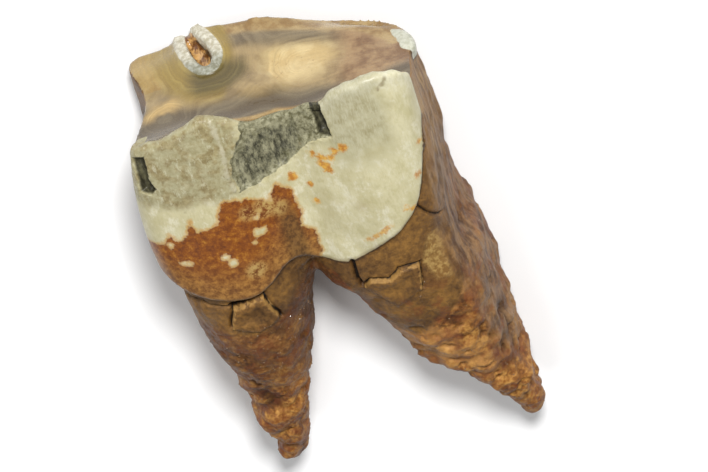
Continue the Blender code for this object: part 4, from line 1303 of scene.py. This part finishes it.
def grain_finish():
    paint = Finish("mineral_grains")
    place = paint.node("ShaderNodeTexCoord", {}, {}, out="Object")
    tone = paint.node("ShaderNodeTexWhiteNoise", {}, {"Vector": place})
    cloud = paint.node("ShaderNodeTexNoise", {}, {"Scale": 900.0})
    return paint.surface(paint.shader({
        "Base Color": paint.mix(cloud.between(0.35, 0.65), *MINERAL_TONES),
        "Roughness": 0.12 + tone * 0.1,
        "Specular IOR Level": 0.8,
    }))


def grain_nodes():
    """Grains on a skin's faces, as Geometry Nodes with named inputs."""
    group = bpy.data.node_groups.new("mineral_grains", "GeometryNodeTree")
    group.interface.new_socket("Skin", in_out="INPUT", socket_type="NodeSocketGeometry")
    for name in GRAIN_INPUTS:
        group.interface.new_socket(name, in_out="INPUT", socket_type="NodeSocketFloat")
    group.interface.new_socket("Grains", in_out="OUTPUT", socket_type="NodeSocketGeometry")
    tree = NodeTree(group)
    start = group.nodes.new("NodeGroupInput")
    given = {socket.name: Wire(tree, socket) for socket in start.outputs if socket.name}
    share = tree.node("GeometryNodeInputNamedAttribute", {"data_type": "FLOAT"}, {"Name": "granular"})
    points = tree.node("GeometryNodeDistributePointsOnFaces", {}, {
        "Mesh": given["Skin"],
        "Density": share * given["Grains per area"],
        "Seed": GRAIN_SEED,
    })
    grain = tree.node("GeometryNodeMeshIcoSphere", {}, {"Radius": 1.0, "Subdivisions": 1})
    size = tree.node("FunctionNodeRandomValue", {"data_type": "FLOAT"}, {
        2: given["Least grain"], 3: given["Largest grain"], "Seed": GRAIN_SEED,
    }, out=1)
    turn = tree.node("FunctionNodeRandomValue", {"data_type": "FLOAT_VECTOR"}, {
        0: (0.0, 0.0, 0.0), 1: (math.pi, math.pi, math.pi), "Seed": GRAIN_SEED + 1,
    })
    placed = tree.node("GeometryNodeInstanceOnPoints", {}, {
        "Points": points, "Instance": grain, "Rotation": turn, "Scale": size,
    })
    real = tree.node("GeometryNodeRealizeInstances", {}, {0: placed})
    finished = tree.node("GeometryNodeSetMaterial", {}, {"Geometry": real, "Material": grain_finish()})
    tree.node("NodeGroupOutput", {}, {0: finished})
    return group


def scatter_grains(tooth):
    """Small glinting mineral grains, half sunk in the root skin where its texture is coarse."""
    group = grain_nodes()
    carrier = add_object("mineral_grains_carrier", tooth.data)
    scatter = carrier.modifiers.new("Grains", "NODES")
    scatter.node_group = group
    for item in group.interface.items_tree:
        if item.name in GRAIN_INPUTS:
            scatter[item.identifier] = GRAIN_INPUTS[item.name]
    mesh = evaluated_copy(carrier)
    bpy.data.objects.remove(carrier, do_unlink=True)
    mesh.name = "mineral_grains"
    return add_object("mineral_grains", mesh)


def floor_finish():
    paint = Finish("studio_floor")
    return paint.surface(paint.shader({
        "Base Color": (FLOOR_SHARE, FLOOR_SHARE, FLOOR_SHARE, 1.0),
        "Roughness": 0.9,
        "Specular IOR Level": 0.1,
    }))


def make_floor():
    mesh = bpy.data.meshes.new("studio_floor")
    corners = [(x * FLOOR_HALF, y * FLOOR_HALF, 0.0) for x, y in ((-1, -1), (1, -1), (1, 1), (-1, 1))]
    mesh.from_pydata(corners, (), ((0, 1, 2, 3),))
    mesh.materials.append(floor_finish())
    floor = add_object("studio_floor", mesh)


def view_axes():
    """The photograph's right, up and towards-the-camera directions in the upright tooth's frame."""
    across = np.array((math.cos(VIEW_TURN), math.sin(VIEW_TURN), 0.0))
    upward = np.array((
        -math.sin(VIEW_TURN) * math.sin(VIEW_TILT),
        math.cos(VIEW_TURN) * math.sin(VIEW_TILT),
        math.cos(VIEW_TILT),
    ))
    right = across * math.cos(VIEW_ROLL) - upward * math.sin(VIEW_ROLL)
    up = across * math.sin(VIEW_ROLL) + upward * math.cos(VIEW_ROLL)
    return right, up, np.cross(right, up)


def make_camera(to_world):
    right, up, back = view_axes()
    aside = (PICTURE[0] / 2 - ANCHOR_PIXEL[0]) / PIXELS_PER_MM
    down = (PICTURE[1] / 2 - ANCHOR_PIXEL[1]) / PIXELS_PER_MM
    middle = np.array(ANCHOR_MM) + right * aside - up * down
    middle -= back * (middle @ back)
    turn = to_world.to_3x3().normalized()
    rows = [turn @ Vector(axis) for axis in (right, up, back)]
    where = to_world @ Vector(middle) + rows[2] * CAMERA_DISTANCE
    data = bpy.data.cameras.new("camera")
    data.sensor_width = SENSOR_MM
    data.lens = SENSOR_MM * CAMERA_DISTANCE / (PICTURE[0] / PIXELS_PER_MM * METRES)
    data.clip_end = CLIP_END
    camera = add_object("camera", data)
    camera.matrix_world = Matrix.Translation(where) @ Matrix(rows).transposed().to_4x4()
    bpy.context.scene.camera = camera


def add_light(name, place, size, power):
    data = bpy.data.lights.new(name, "AREA")
    data.shape = "DISK"
    data.size = size
    data.energy = power
    light = add_object(name, data)
    light.location = place
    light.rotation_euler = (-Vector(place)).to_track_quat("-Z", "Y").to_euler()


def make_light():
    add_light("key_light", *KEY_LIGHT)
    add_light("fill_light", *FILL_LIGHT)
    world = bpy.data.worlds.new("studio")
    world.use_nodes = True
    sky = world.node_tree.nodes["Background"].inputs
    sky["Color"].default_value = (1.0, 1.0, 1.0, 1.0)
    sky["Strength"].default_value = SKY_STRENGTH
    bpy.context.scene.world = world
    bpy.context.scene.view_settings.view_transform = "Standard"


def main():
    tooth, to_world = make_tooth()
    grains = scatter_grains(tooth)
    tooth.data.materials.append(tooth_finish())
    for piece in (tooth, grains):
        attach(piece, "root")
    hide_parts("tooth")
    make_floor()
    make_camera(to_world)
    make_light()


main()
